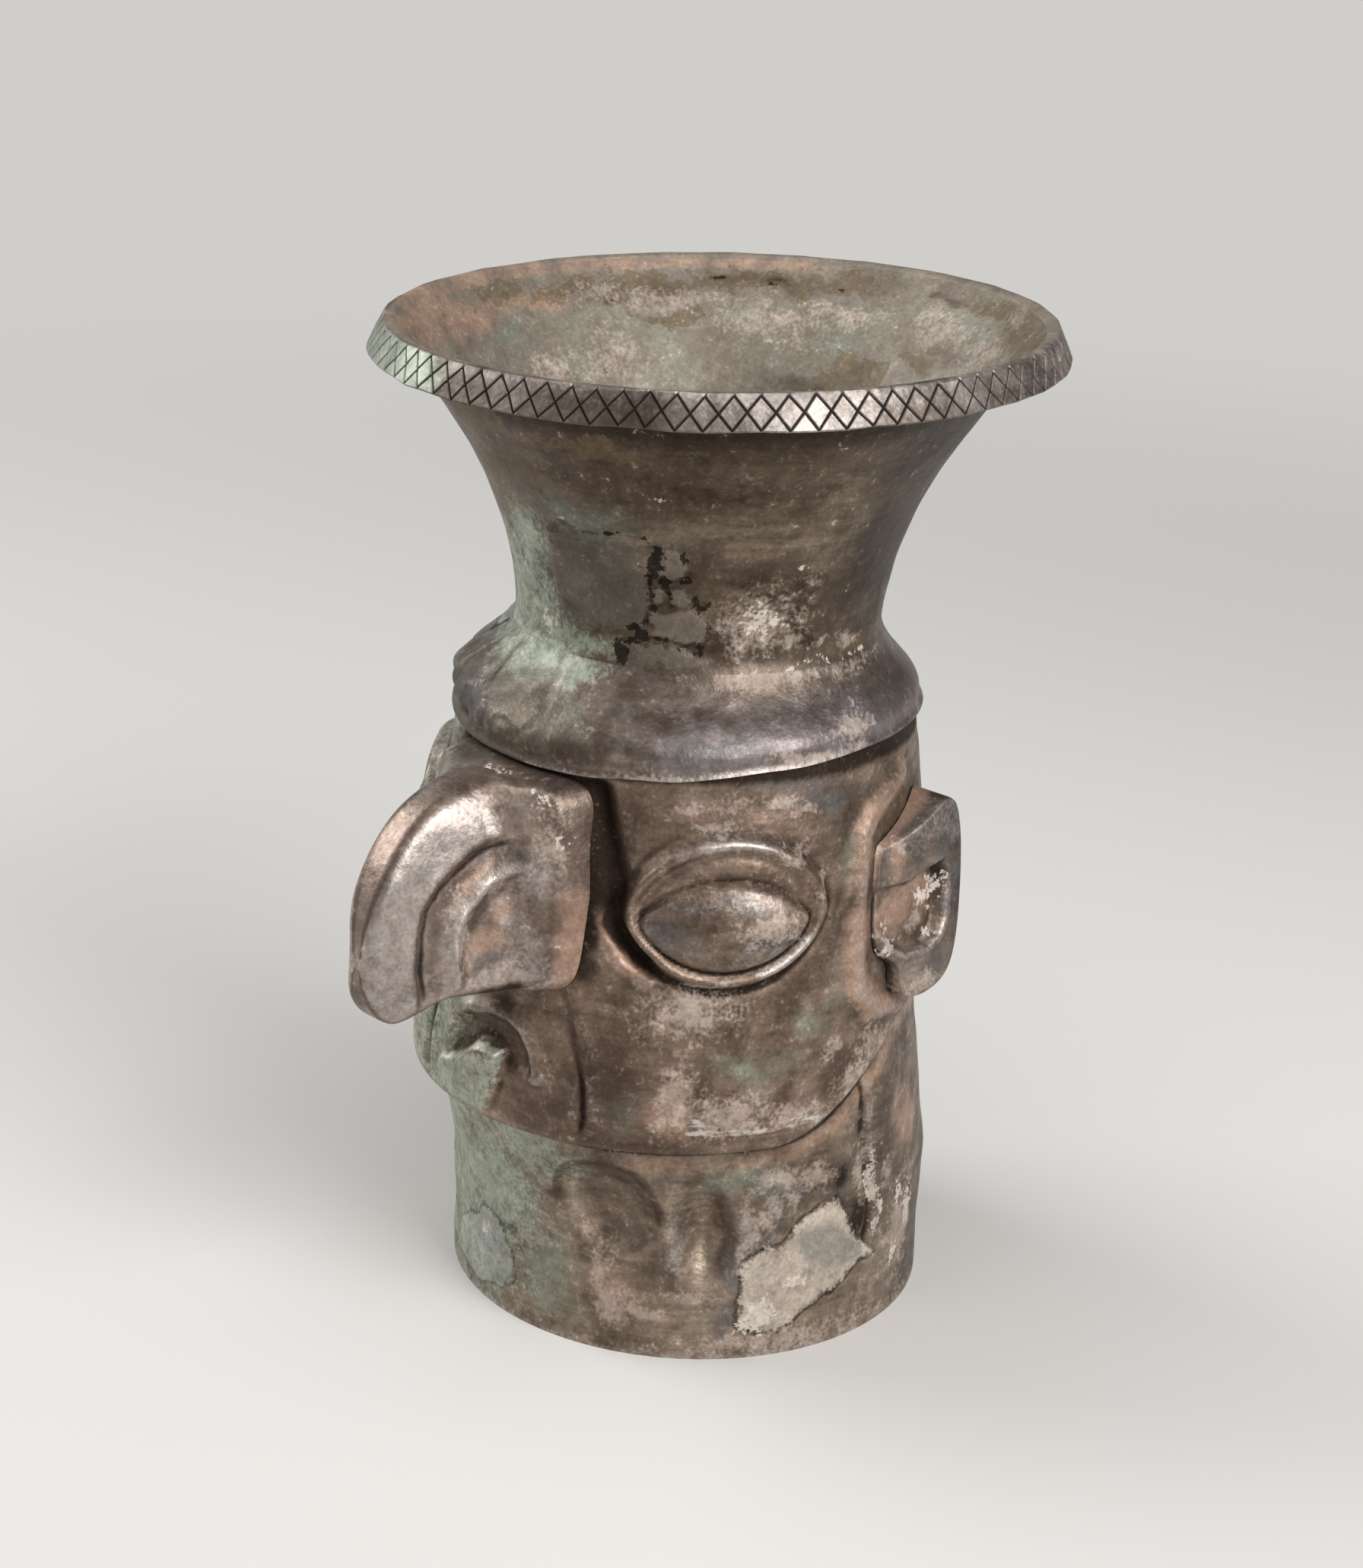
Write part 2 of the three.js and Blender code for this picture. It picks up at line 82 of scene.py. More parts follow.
def tarnished_silver(name, tones, stains, streaks=0.25, dull=0.54, bright=0.36, shift=0):
    """Hammered silver under a film of tarnish: a metal whose colour drifts through the tones,
    with burnishing streaks, fine grit, and stains where the piece's own masks ask for them.
    A piece on the origin shifts its patterns, because all their octaves meet there in a fan."""
    material = bpy.data.materials.new(name)
    material.use_nodes = True
    tree = material.node_tree
    tree.nodes.clear()
    place = node(tree, "ShaderNodeMapping", {
        "Vector": node(tree, "ShaderNodeTexCoord").outputs["Object"],
        "Location": (shift * MM, shift * MM, shift * MM)}).outputs[0]
    stretched = node(tree, "ShaderNodeMapping", {"Vector": place, "Scale": (1, 1, 8)}).outputs[0]
    # The sizes in millimetres of a drift of film, a blotch, the hammered skin, grit and streaks.
    # Real grit is finer than this, and is drawn as coarse as it needs to show.
    grain = {}
    for kind, size, detail, space in (
            ("film", 30, 6.0, place), ("blotch", 9, 6.0, place), ("skin", 2.6, 5.0, place),
            ("grit", 0.8, 2.0, place), ("streak", 16, 6.0, stretched)):
        raw = node(tree, "ShaderNodeTexNoise", {
            "Vector": space, "Scale": 1 / (size * MM), "Detail": detail, "Roughness": 0.6}).outputs[0]
        grain[kind] = node(tree, "ShaderNodeMapRange", {
            "Value": raw, "From Min": 0.34, "From Max": 0.66}).outputs[0]
    # A Mix node's inputs: 0 is the share, 2 and 3 are two numbers, 6 and 7 are two colours.
    film = node(tree, "ShaderNodeMix", {0: 0.4, 2: grain["film"], 3: grain["blotch"]}).outputs[0]
    mottle = node(tree, "ShaderNodeMix", {0: 0.5, 2: grain["blotch"], 3: grain["skin"]}).outputs[0]
    grain["dust"] = node(tree, "ShaderNodeMix", {0: 0.5, 2: grain["skin"], 3: grain["grit"]}).outputs[0]
    ramp = node(tree, "ShaderNodeValToRGB", {"Fac": film})
    steps = ramp.color_ramp.elements
    while len(steps) < len(tones):
        steps.new(0.5)
    for i, tone in enumerate(tones):
        steps[i].position = lerp(0.2, 0.8, i / (len(tones) - 1))
        steps[i].color = srgb(tone)
    colour = ramp.outputs["Color"]
    for pattern, share in (("skin", 0.2), ("streak", streaks)):
        colour = node(tree, "ShaderNodeMix", {0: share, 6: colour, 7: grain[pattern]},
                      data_type="RGBA", blend_type="OVERLAY").outputs[2]
    metal = node(tree, "ShaderNodeMapRange", {
        "Value": mottle, "To Min": 0.92, "To Max": 0.75}).outputs[0]
    rough = node(tree, "ShaderNodeMapRange", {"Value": film, "To Min": dull, "To Max": bright}).outputs[0]
    height = node(tree, "ShaderNodeMix", {0: 0.2, 2: grain["skin"], 3: grain["grit"]}).outputs[0]
    for stain in stains:
        mask = node(tree, "ShaderNodeAttribute", attribute_name=stain["mask"]).outputs["Fac"]
        ragged, soft = stain["ragged"], stain["soft"]
        edge = node(tree, "ShaderNodeMath", {
            0: grain[stain["grain"]], 1: ragged, 2: mask}, operation="MULTIPLY_ADD").outputs[0]
        middle = 0.5 + ragged / 2
        share = node(tree, "ShaderNodeMapRange", {
            "Value": edge, "From Min": middle - soft, "From Max": middle + soft,
            "To Max": stain["share"]}, interpolation_type="SMOOTHSTEP").outputs[0]
        body = node(tree, "ShaderNodeMix", {
            0: mottle, 6: srgb(stain["colours"][0]), 7: srgb(stain["colours"][1])},
            data_type="RGBA").outputs[2]
        colour = node(tree, "ShaderNodeMix", {0: share, 6: colour, 7: body}, data_type="RGBA").outputs[2]
        metal = node(tree, "ShaderNodeMix", {0: share, 2: metal, 3: stain["metal"]}).outputs[0]
        rough = node(tree, "ShaderNodeMix", {0: share, 2: rough, 3: stain["rough"]}).outputs[0]
        if stain.get("raised"):
            height = node(tree, "ShaderNodeMath", {
                0: share, 1: stain["raised"], 2: height}, operation="MULTIPLY_ADD").outputs[0]
    colour = node(tree, "ShaderNodeMix", {0: 0.14, 6: colour, 7: grain["grit"]},
                  data_type="RGBA", blend_type="OVERLAY").outputs[2]
    bump = node(tree, "ShaderNodeBump", {
        "Strength": 0.22, "Distance": 0.35 * MM, "Height": height}).outputs[0]
    shader = node(tree, "ShaderNodeBsdfPrincipled", {
        "Base Color": colour, "Metallic": metal, "Roughness": rough, "Normal": bump})
    node(tree, "ShaderNodeOutputMaterial", {"Surface": shader.outputs[0]})
    return material


def sheet_piece(name, rows, ends, material, masks=None, crease=38):
    """A piece from rows of points that close on themselves. Ends 'loop' joins the last row to
    the first; 'poles' closes each end on a point. A mask holds a value for every point."""
    count, turns = len(rows), len(rows[0])
    points = np.concatenate(rows)
    here = np.arange(turns)
    after = (here + 1) % turns
    faces = []
    for i in range(count if ends == "loop" else count - 1):
        low, high = i * turns, (i + 1) % count * turns
        faces += np.stack([low + here, low + after, high + after, high + here], 1).tolist()
    masks = {mask: np.concatenate(values) for mask, values in (masks or {}).items()}
    if ends == "poles":
        top = (count - 1) * turns
        faces += [[len(points), int(b), int(a)] for a, b in zip(here, after)]
        faces += [[len(points) + 1, int(top + a), int(top + b)] for a, b in zip(here, after)]
        points = np.concatenate([points, [rows[0].mean(0)], [rows[-1].mean(0)]])
        masks = {m: np.append(v, [v[:turns].mean(), v[-turns:].mean()]) for m, v in masks.items()}
    mesh = bpy.data.meshes.new(name)
    mesh.from_pydata(points * MM, [], faces)
    for mask, values in masks.items():
        mesh.attributes.new(mask, "FLOAT", "POINT").data.foreach_set("value", values)
    mesh.shade_smooth()
    mesh.set_sharp_from_angle(angle=math.radians(crease))
    mesh.materials.append(material)
    piece = bpy.data.objects.new(name, mesh)
    bpy.context.scene.collection.objects.link(piece)
    return piece


def hammered(points, size, seed):
    """Uneven hammering from -1 to 1, with marks of about that size."""
    shift = Vector((seed * 7.3, seed * 3.1, seed * 5.7))
    flat = points.reshape(-1, 3)
    return np.array([noise.noise(Vector(p) / size + shift) for p in flat]).reshape(points.shape[:-1])


floor_turn = np.radians(np.arange(0, 360, FLOOR_STEP))
floor_reach = np.append(np.linspace(0.02, 0.96, FLOOR_RINGS), 1.0) * FLOOR_RADIUS
floor_rows = []
for reach, top in [(r, False) for r in floor_reach] + [(r, True) for r in floor_reach[::-1]]:
    ring = np.stack([reach * np.sin(floor_turn), -reach * np.cos(floor_turn), 0 * floor_turn], 1)
    if top:
        ring[:, 2] = FLOOR_THICKNESS - FLOOR_HOLLOW * (1 - (reach / FLOOR_RADIUS) ** 2)
        ring[:, 2] += FLOOR_BLOW * hammered(ring, FLOOR_BLOW_SIZE, 1) * (reach < FLOOR_RADIUS)
    floor_rows.append(ring)
# Dull silver sheet: dark and half matt, because nothing rubs it, with slow drifts of brown film.
dull_floor = tarnished_silver(
    "dull_tarnished_silver_sheet", ["#433a33", "#5e534b", "#766b62"], [], shift=FLOOR_SHIFT)
foot_plate = sheet_piece("foot_plate", floor_rows, "poles", dull_floor)
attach(foot_plate, "root")
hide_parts("foot_floor")

# Foot tube: silver sheet rolled to a tube, its edges lapped in an upright seam on the figure's left.
# It leans forward above a soft bend to follow the head, whose lower edge is hemmed round it.
# It has been dented and buried: two old dents, green salts and pale crusts.

FOOT_BEND_Z = 27.3
FOOT_TOP_RADIUS, FOOT_TOP_FORWARD, FOOT_TOP_Z = 49.3, 8.34, 68.8
FOOT_LAP = 4
SEAM_ANGLE, SEAM_STEP = 94, 0.8
LEFT_DENT, LEFT_DENT_DEPTH = (27, 32.5, 10.4, 10.4), 3.2  # degrees, height, half width, half height
RIGHT_DENT, RIGHT_DENT_DEPTH = (49.5, 28.5, 6.0, 12.5), 3.6
LEFT_DENT_RIM, RIGHT_DENT_RIM = 0.7, 0.6
DENT_WAVER, DENT_WAVER_SIZE = 0.12, 8
CRUST_PROUD, LIME_PROUD = 0.4, 0.3
SEAM_WAVER, SEAM_WAVER_SIZE, SEAM_CRACK_DEPTH = 1.8, 7, 0.9
FOOT_BLOWS = (0.6, 26), (0.3, 9)  # the height of each kind of hammer mark, and its size
FOOT_CRUST_DRIFT = 0.62  # how ragged the crusts are: their share of the stains' drift
FOOT_TURNS, FOOT_ROWS, FOOT_INNER_STEP = 480, 120, 4
JAW_Z, NAPE_RISE, NAPE_FROM, NAPE_TO = 48.8, 20, 70, 120


def smooth(x, low, high):
    """0 below low, 1 above high, and an even curve between them."""
    t = np.clip((x - low) / (high - low), 0, 1)
    return t * t * (3 - 2 * t)


def fade(x, low, high):
    """1 below low, 0 above high, and an even curve between them."""
    return 1 - smooth(x, low, high)


def bell(x, middle, width):
    """1 in the middle, and falling off on both sides within about that width."""
    return np.exp(-((x - middle) / width) ** 2)


def jaw_edge(angle):
    """Height of the head's lower edge, which rises towards the nape."""
    return JAW_Z + NAPE_RISE * smooth(np.abs(angle), NAPE_FROM, NAPE_TO)


def foot_ring(z):
    t = np.clip((z - FOOT_BEND_Z) / (FOOT_TOP_Z - FOOT_BEND_Z), 0, 1)
    return lerp(FOOT_RADIUS, FOOT_TOP_RADIUS, t), FOOT_TOP_FORWARD * t


def on_ring(angle, radius, forward, z, side=0.0):
    """A point on a ring: the angle is 0 at the face's front and grows towards its left."""
    turn = np.radians(angle)
    return np.stack([side + radius * np.sin(turn), -(forward + radius * np.cos(turn)), z + 0 * turn], -1)


def hammering(points, seed, *blows):
    """The height of the marks of several kinds of blow, each given by its height and size."""
    return sum(height * hammered(points, size, seed + k) for k, (height, size) in enumerate(blows))


def wandering(across, up, unit, points, seed):
    """Flat coordinates that drift, so that what is laid out on them gets a natural outline.
    The unit, which is the width of a degree, goes with them."""
    drift = [2.6 * hammered(points, 9, seed + k) + 1.1 * hammered(points, 3, seed + k + 2) for k in (0, 1)]
    return across + drift[0], up + drift[1], unit


def spots(across, up, unit, places):
    """A mask that is 1 in the middle of each place (degrees, height, half width, half height),
    one half on its outline and 0 well outside it."""
    mask = np.zeros(np.shape(up))
    for degrees, z, half_width, half_height in places:
        away = np.hypot((across - degrees * unit) / half_width, (up - z) / half_height)
        mask = np.maximum(mask, np.clip(1 - away / 2, 0, 1))
    return mask


def most(*masks):
    """The strongest of several masks at each point."""
    return np.maximum.reduce(np.broadcast_arrays(*masks))


def from_line(across, up, path):
    """Distance from a line of points, + on the right of it, and how far along it that is."""
    best = np.full(np.shape(up), 1e9)
    side, along = np.ones_like(best), np.zeros_like(best)
    path = np.array(path, float)
    lengths = np.hypot(*np.diff(path, axis=0).T)
    starts = np.append(0, np.cumsum(lengths))
    for (x0, z0), (x1, z1), length, start in zip(path, path[1:], lengths, starts):
        dx, dz = x1 - x0, z1 - z0
        t = np.clip(((across - x0) * dx + (up - z0) * dz) / length ** 2, 0, 1)
        away = np.hypot(across - x0 - t * dx, up - z0 - t * dz)
        nearer = away < best
        best = np.where(nearer, away, best)
        turn = (across - x0) * dz - (up - z0) * dx
        side = np.where(nearer, np.where(turn < 0, -1.0, 1.0), side)
        along = np.where(nearer, (start + t * length) / starts[-1], along)
    return best * side, along


def inside(across, up, unit, outline):
    """Distance inside a closed outline in degrees and heights; it is negative outside."""
    path = [(degrees * unit, z) for degrees, z in list(outline) + [outline[0]]]
    away = np.abs(from_line(across, up, path)[0])
    within = np.zeros(np.shape(up), bool)
    for (x0, z0), (x1, z1) in zip(path, path[1:]):
        crosses = (z0 > up) != (z1 > up)
        within ^= crosses & (across < x0 + (up - z0) * (x1 - x0) / (z1 - z0 + 1e-9))
    return np.where(within, away, -away)


foot_angle = np.linspace(-180, 180, FOOT_TURNS, endpoint=False)
angle, z = np.meshgrid(foot_angle, np.linspace(0, FOOT_TOP_Z + FOOT_LAP, FOOT_ROWS))
radius, forward = foot_ring(z)
plain = on_ring(angle, radius, forward, z)
unit = math.radians(FOOT_RADIUS)
across = unit * angle
loose = wandering(across, z, unit, plain, 50)
free = smooth(jaw_edge(angle) - z, 1.5, 7) * smooth(z, 0.2, 5)
left_dent, right_dent = (
    np.hypot((across - degrees * unit) / half_width, (z - height) / half_height)
    + DENT_WAVER * hammered(plain, DENT_WAVER_SIZE, seed)
    for (degrees, height, half_width, half_height), seed in ((LEFT_DENT, 5), (RIGHT_DENT, 6)))
lift = hammering(plain, 2, *FOOT_BLOWS)
lift -= LEFT_DENT_DEPTH * fade(left_dent, 0.45, 1.1) + RIGHT_DENT_DEPTH * fade(right_dent, 0.1, 1.1)
lift += LEFT_DENT_RIM * bell(left_dent, 1.15, 0.22) + RIGHT_DENT_RIM * bell(right_dent, 1.25, 0.25)
ragged = (lerp(across, loose[0], FOOT_CRUST_DRIFT), lerp(z, loose[1], FOOT_CRUST_DRIFT), unit)
crust = inside(*ragged, [
    (62.8, 5.8), (58.4, 8.2), (57.4, 12.2), (57.9, 16.2), (59, 21.4), (62.6, 23.1), (67.6, 23.7),
    (70.9, 26.7), (73.6, 28.8), (78.3, 30.3), (83.9, 31.4), (86, 26.9), (89, 22.3), (94.6, 16.1),
    (88.6, 14.6), (83.1, 13.5), (77.3, 10.2), (73.4, 7.6), (67.4, 4.8)])
ash = inside(*ragged, [(71, 26), (76, 28), (81.4, 27), (91, 20), (92, 16), (83, 16), (74, 20)])
lime = inside(*ragged, [
    (-26.2, 11.6), (-11.1, 19.7), (-4.5, 19.7), (-0.8, 15), (1.1, 9.7), (-3.8, 5.2), (-16, 3), (-27, 4.4)])
lift += CRUST_PROUD * smooth(crust, -0.8, 0.8) + LIME_PROUD * smooth(lime, -0.8, 0.8)
seam_waver = SEAM_WAVER * hammered(np.stack([0 * z, 0 * z, z], -1), SEAM_WAVER_SIZE, 4)
past_seam = angle - SEAM_ANGLE - seam_waver
raised = smooth(z, 2, 8)
lift += SEAM_STEP * raised * smooth(past_seam, -0.6, 0.8) * fade(past_seam, 4, 18)
crack = bell(past_seam, -0.9, 1.0) * smooth(z, 13, 19) * (0.6 + 0.5 * hammered(plain, 4, 7))
lift = (lift - SEAM_CRACK_DEPTH * crack) * free
foot_outer = on_ring(angle, radius + lift, forward, z)
some = slice(None, None, FOOT_INNER_STEP)  # the inside needs only some of the rows
foot_inner = on_ring(angle[some], radius[some] - SHEET + lift[some], forward[some], z[some])
below_jaw = jaw_edge(angle) - z
# The height that the jaw hides from above.
overhang = 0.5 + 2.9 * np.maximum(np.cos(np.radians(angle)), 0)
foot_masks = {
    "green": most(
        spots(*loose, [
            (-4, 28, 13, 11), (17, 41, 11, 4), (56, 42, 8, 4), (-34, 22, 22, 22), (10, 14, 6, 9),
            (62, 40, 7, 3), (150, 40, 16, 12), (-120, 30, 20, 16)]) - 0.06,
        0.45 * fade(angle, -40, 20) * smooth(angle, -120, -80)),
    "bloom_and_highlight": most(
        spots(*loose, [(-8, 27, 11, 13), (-24, 30, 10, 16), (6, 40, 9, 4), (-12, 8, 10, 5)]),
        0.62 * fade(loose[0] / unit, -18, 16) * smooth(angle, -110, -70)),
    # Brown tarnish spots and a brown floor in the left dent; painted shade as dark arcs on the left dent's
    # upper rim and the right dent's far wall.
    "umber_and_shade": most(
        1.1 * bell(left_dent, 0.98, 0.12) * smooth(z, 25, 33), 0.5 * fade(left_dent, 0.5, 0.9),
        1.1 * bell(right_dent, 0.75, 0.3) * smooth(across, 50 * unit, 55 * unit),
        spots(*loose, [(40, 19, 4, 5), (-80, 20, 12, 10), (130, 15, 10, 8)])),
    "copper": most(
        0.6 * bell(below_jaw - overhang, 2.4, 3) * smooth(loose[0], 10, 40),
        spots(*loose, [(112, 42, 7, 8), (28, 14, 4, 4)]) - 0.08),
    "slate": spots(*loose, [
        (66, 38, 2.6, 3), (67, 31, 3, 3.4), (61, 25, 2.6, 4), (57, 19, 2, 5), (55, 9, 2.4, 4),
        (74, 35, 3, 3), (86, 36, 2, 5)]),
    # Painted shadow under the jaw's overhang; dark rims round the crusts, dirt and painted shade; dirt in
    # the seam's crack and in a few spots.
    "soil_and_shade": most(
        np.clip(crack * 1.3, 0, 1), 0.95 * fade(below_jaw - overhang, -0.9, 1.3),
        spots(*loose, [(89.4, 27, 2.8, 4.2), (85, 37, 1.6, 3.4), (61, 7.5, 1.4, 1), (66, 7, 1, 1)]),
        0.72 * bell(crust, -0.6, 0.6), 0.55 * bell(lime, -0.5, 0.5)),
    "chalk": most(
        spots(*loose, [
            (26, 18, 2.6, 4), (29, 11, 3.4, 4), (36, 10, 3, 1.4), (46, 14, 4, 1.0), (59, 28, 1.2, 8),
            (107, 18, 5, 9), (92, 36, 1.4, 6), (65, 39, 2.4, 2), (70, 39, 3, 1.6), (65.6, 33, 2, 2.4),
            (62.6, 29.6, 1.6, 3), (72, 34, 2, 3), (79, 38, 3, 3), (66, 3, 14, 2), (100, 33, 1.4, 3),
            (-60, 9, 9, 4)]),
        0.4 * fade(z, 1.5, 8) * smooth(angle, 10, 60)),
    "lime": np.clip(0.5 + lime / 4, 0, 1),
    "crust": np.clip(0.5 + crust / 3, 0, 1),
    "ash": 0.68 * smooth(ash, -1.5, 1.5),
    "fleck": spots(*loose, [
        (106, 27, 2, 2), (112, 21, 2, 3), (94.6, 30, 0.8, 9), (104, 13, 1.4, 2), (-12, 16, 1.6, 1.2),
        (63, 9, 3, 3), (72, 15, 3, 1)]),
    # Bare silver on the bottom edge and the seam, and painted highlights on the dents' ridge and right rim.
    "wear_and_highlight": most(
        0.6 * fade(z, 0.3, 1.4), 0.5 * bell(past_seam, 1.2, 0.9) * raised,
        0.7 * spots(*loose, [(43, 26, 1.6, 6), (58.5, 29, 0.8, 8)])),
}
foot_masks = {mask: [*v, *v[some][::-1]] for mask, v in foot_masks.items()}

# Verdigris: green copper salts out of the alloy. Bloom and highlight: a pale bloom on them, and pale
# painted highlights.
# Umber and shade: thick brown tarnish, and painted shade.
# Copper: the warm halo of old solder. Slate: blue-black sulphide.
# Chalk, lime and crust: mineral skins from the ground, with ash-grey hollows. Flecks: crumbs of crust.
# Soil and shade: brown dirt and black sulphide in the creases, and painted shade in hollows and under
# overhangs.
# Wear and highlight: bare silver on high places, and painted highlights on lit ridges and edges.
VERDIGRIS = dict(mask="green", colours=("#5c6155", "#8a8f80"), metal=0.45, rough=0.5,
                 grain="blotch", ragged=0.6, soft=0.4, share=0.75)
BLOOM_AND_HIGHLIGHT = dict(mask="bloom_and_highlight", colours=("#7b8574", "#b3bba9"), metal=0.3, rough=0.55,
             grain="dust", ragged=0.8, soft=0.4, share=0.75)
UMBER_AND_SHADE = dict(mask="umber_and_shade", colours=("#382b23", "#5d4b40"), metal=0.75, rough=0.42,
             grain="blotch", ragged=0.5, soft=0.35, share=0.75)
COPPER = dict(mask="copper", colours=("#8f7160", "#b9967f"), metal=0.35, rough=0.44,
              grain="blotch", ragged=0.5, soft=0.35, share=0.68)
SLATE = dict(mask="slate", colours=("#3f3d3d", "#656261"), metal=0.6, rough=0.44,
             grain="skin", ragged=0.5, soft=0.25, share=0.7)
CHALK = dict(mask="chalk", colours=("#8c7c70", "#c0b0a4"), metal=0.15, rough=0.7,
             grain="dust", ragged=0.8, soft=0.34, share=0.68, raised=0.15)
LIME = dict(mask="lime", colours=("#767b75", "#b2b4ab"), metal=0.1, rough=0.65,
            grain="dust", ragged=0.3, soft=0.1, share=0.75, raised=0.4)
CRUST = dict(mask="crust", colours=("#84796d", "#cfc2b3"), metal=0.0, rough=0.85,
             grain="dust", ragged=0.7, soft=0.2, share=0.9, raised=0.5)
ASH = dict(mask="ash", colours=("#615e58", "#8a847b"), metal=0.0, rough=0.8,
           grain="skin", ragged=0.8, soft=0.3, share=0.8)
FLECK = dict(mask="fleck", colours=("#a89b8f", "#d8cdc2"), metal=0.0, rough=0.8,
             grain="dust", ragged=1.0, soft=0.1, share=0.85, raised=0.3)
SOIL_AND_SHADE = dict(mask="soil_and_shade", colours=("#150d08", "#30231a"), metal=0.85, rough=0.8,
            grain="skin", ragged=0.3, soft=0.3, share=0.88)
WEAR_AND_HIGHLIGHT = dict(mask="wear_and_highlight", colours=("#8f857f", "#bdb5af"), metal=1.0, rough=0.4,
            grain="dust", ragged=0.5, soft=0.45, share=0.8)
# Buried silver: a warm grey-brown metal, dull and mottled, that shows through all of these.
buried_silver = tarnished_silver(
    "buried_silver_tube", ["#63544a", "#77675a", "#867668", "#978777"],
    [VERDIGRIS, BLOOM_AND_HIGHLIGHT, UMBER_AND_SHADE, COPPER, SLATE, SOIL_AND_SHADE, CHALK, LIME, CRUST, ASH, FLECK, WEAR_AND_HIGHLIGHT])
foot_tube = sheet_piece("foot_tube", [*foot_outer, *foot_inner[::-1]], "loop", buried_silver, foot_masks)
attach(foot_tube, "root")
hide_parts("foot_wall")

# Face sheet: the head's wall, one silver sheet whose eyes, folds and mouth are raised from inside.
# Its lower edge is hemmed in to the foot below the jaw, and its top slips under the shoulder.

JAW_RADIUS, JAW_FORWARD = 51, 9
BROW_Z, BROW_RADIUS, BROW_FORWARD = 124.3, 45.9, 6.5
LAP_GAP, LAP = 0.4, 4
HEAD_BELLY, HEM = 1.5, 1.2
WAIST_Z, WAIST_RADIUS, WAIST_FORWARD = 142.3, 35.7, 4.7
EYE_ANGLE, EYE_Z = 56.6, 98
LID_HALF_WIDTH, LID_HALF_HEIGHT, LID_BLUNTNESS, LID_PROUD = 20.3, 15.1, 0.6, 2.5
BALL_HALF_WIDTH, BALL_ABOVE, BALL_BELOW, BALL_BLUNTNESS, BALL_PROUD = 15.8, 8.0, 9.2, 0.72, 2.5
BALL_INWARDS, BALL_DROP = 0.4, 2.0
LID_ROLL, LID_ROLL_INWARDS, LID_FURROW, LID_DITCH, BALL_FURROW = 0.8, 0.7, 0.35, 0.5, 0.6
SOCKET_DEPTH, SOCKET_RIM = 2.4, 0.8
ARCH_PROUD, THROAT_DEPTH, PLATE_LOW_PROUD, PLATE_TOP_PROUD = 1.7, 1.0, 1.2, 2.8
CORNER_ANGLE, CORNER_Z, CORNER_PROUD = 16.6, 60.4, 0.5  # the knob at the corner of the mouth
FOLD_RIDGE, FOLD_HOLLOW, FOLD_LIP, FOLD_SLIT, FOLD_SLIT_LOWER = 0.7, 0.5, 0.5, 0.5, 0.4
FAR_FOLD_STRENGTH = 1.5
WELT_PROUD, WELT_DITCH, CREASE_PROUD = 1.3, 0.35, 0.25
FACE_BLOWS = (0.5, 22), (0.2, 8)
FACE_TURNS, FACE_ROWS, FACE_INNER_STEP = 480, 138, 3
FEATURES_END, FEATURES_SHARE = 112, 0.85  # how far round the features reach, their share of the columns
FACE_UNIT = math.radians(49)  # millimetres to a degree, where the face's drawing is laid out flat


def shoulder_ring(z):
    s = (1 - np.cos(np.pi * np.clip((z - BROW_Z) / (WAIST_Z - BROW_Z), 0, 1))) / 2
    return lerp(BROW_RADIUS, WAIST_RADIUS, s), lerp(BROW_FORWARD, WAIST_FORWARD, s)


def head_ring(z):
    t = (z - JAW_Z) / (BROW_Z - JAW_Z)
    collar = BROW_RADIUS - SHEET - LAP_GAP
    belly = lerp(JAW_RADIUS, collar, t) + HEAD_BELLY * 4 * t * (1 - t)
    above, above_forward = shoulder_ring(z)
    under = z > BROW_Z
    return (np.where(under, above - SHEET - LAP_GAP, belly),
            np.where(under, above_forward, lerp(JAW_FORWARD, BROW_FORWARD, t)))


def hem_radius(angle, z):
    """Where a ray from the head's centre meets the foot, with the seat's clearance."""
    tube, tube_forward = foot_ring(z)
    ahead = head_ring(z)[1] - tube_forward
    turn = np.radians(angle)
    return -ahead * np.cos(turn) + np.sqrt((tube + SEAT_GAP) ** 2 - (ahead * np.sin(turn)) ** 2)


def drawn(path):
    """A line of degrees and heights as it lies on the face's flat drawing."""
    return [(degrees * FACE_UNIT, z) for degrees, z in path]


def almond(u, v, half_width, half_height, bluntness):
    """Distance inside an almond outline, about right near its edge."""
    power = 1 / bluntness
    level = (u / half_width) ** 2 + (np.abs(v) / half_height) ** power
    slope = np.hypot(2 * u / half_width ** 2,
                     power * np.abs(v) ** (power - 1) / half_height ** power)
    return (1 - level) / np.maximum(slope, 0.03)


def fold(across, up, path):
    """A pinched fold beside the mouth: a low ridge on the cheek's side and a slit on the mouth's."""
    away, along = from_line(across, up, path)
    strength = smooth(along, 0.0, 0.3) * fade(along, 0.94, 1.0)
    ridge = FOLD_RIDGE * bell(away, -1.8, 2.0) - FOLD_HOLLOW * bell(away, -7, 4)
    ridge = ridge + FOLD_LIP * bell(away, 2.2, 1.2) * smooth(along, 0.4, 0.7)
    slit = (FOLD_SLIT + FOLD_SLIT_LOWER * smooth(along, 0.35, 0.75)) * bell(away, 0.5, 0.8)
    return strength * (ridge - slit)


def blurred(grid, cells):
    """A grid averaged over its neighbours, round the cup and up it."""
    for axis in (1, 0):
        shifted = [np.roll(grid, k, axis) for k in range(-cells, cells + 1)]
        grid = sum(shifted) / len(shifted)
    return grid


def hollows(grid, cells, depth):
    """How deep each point lies below its surroundings, in shares of a depth; - is above."""
    return (blurred(blurred(grid, cells), cells) - grid) / depth


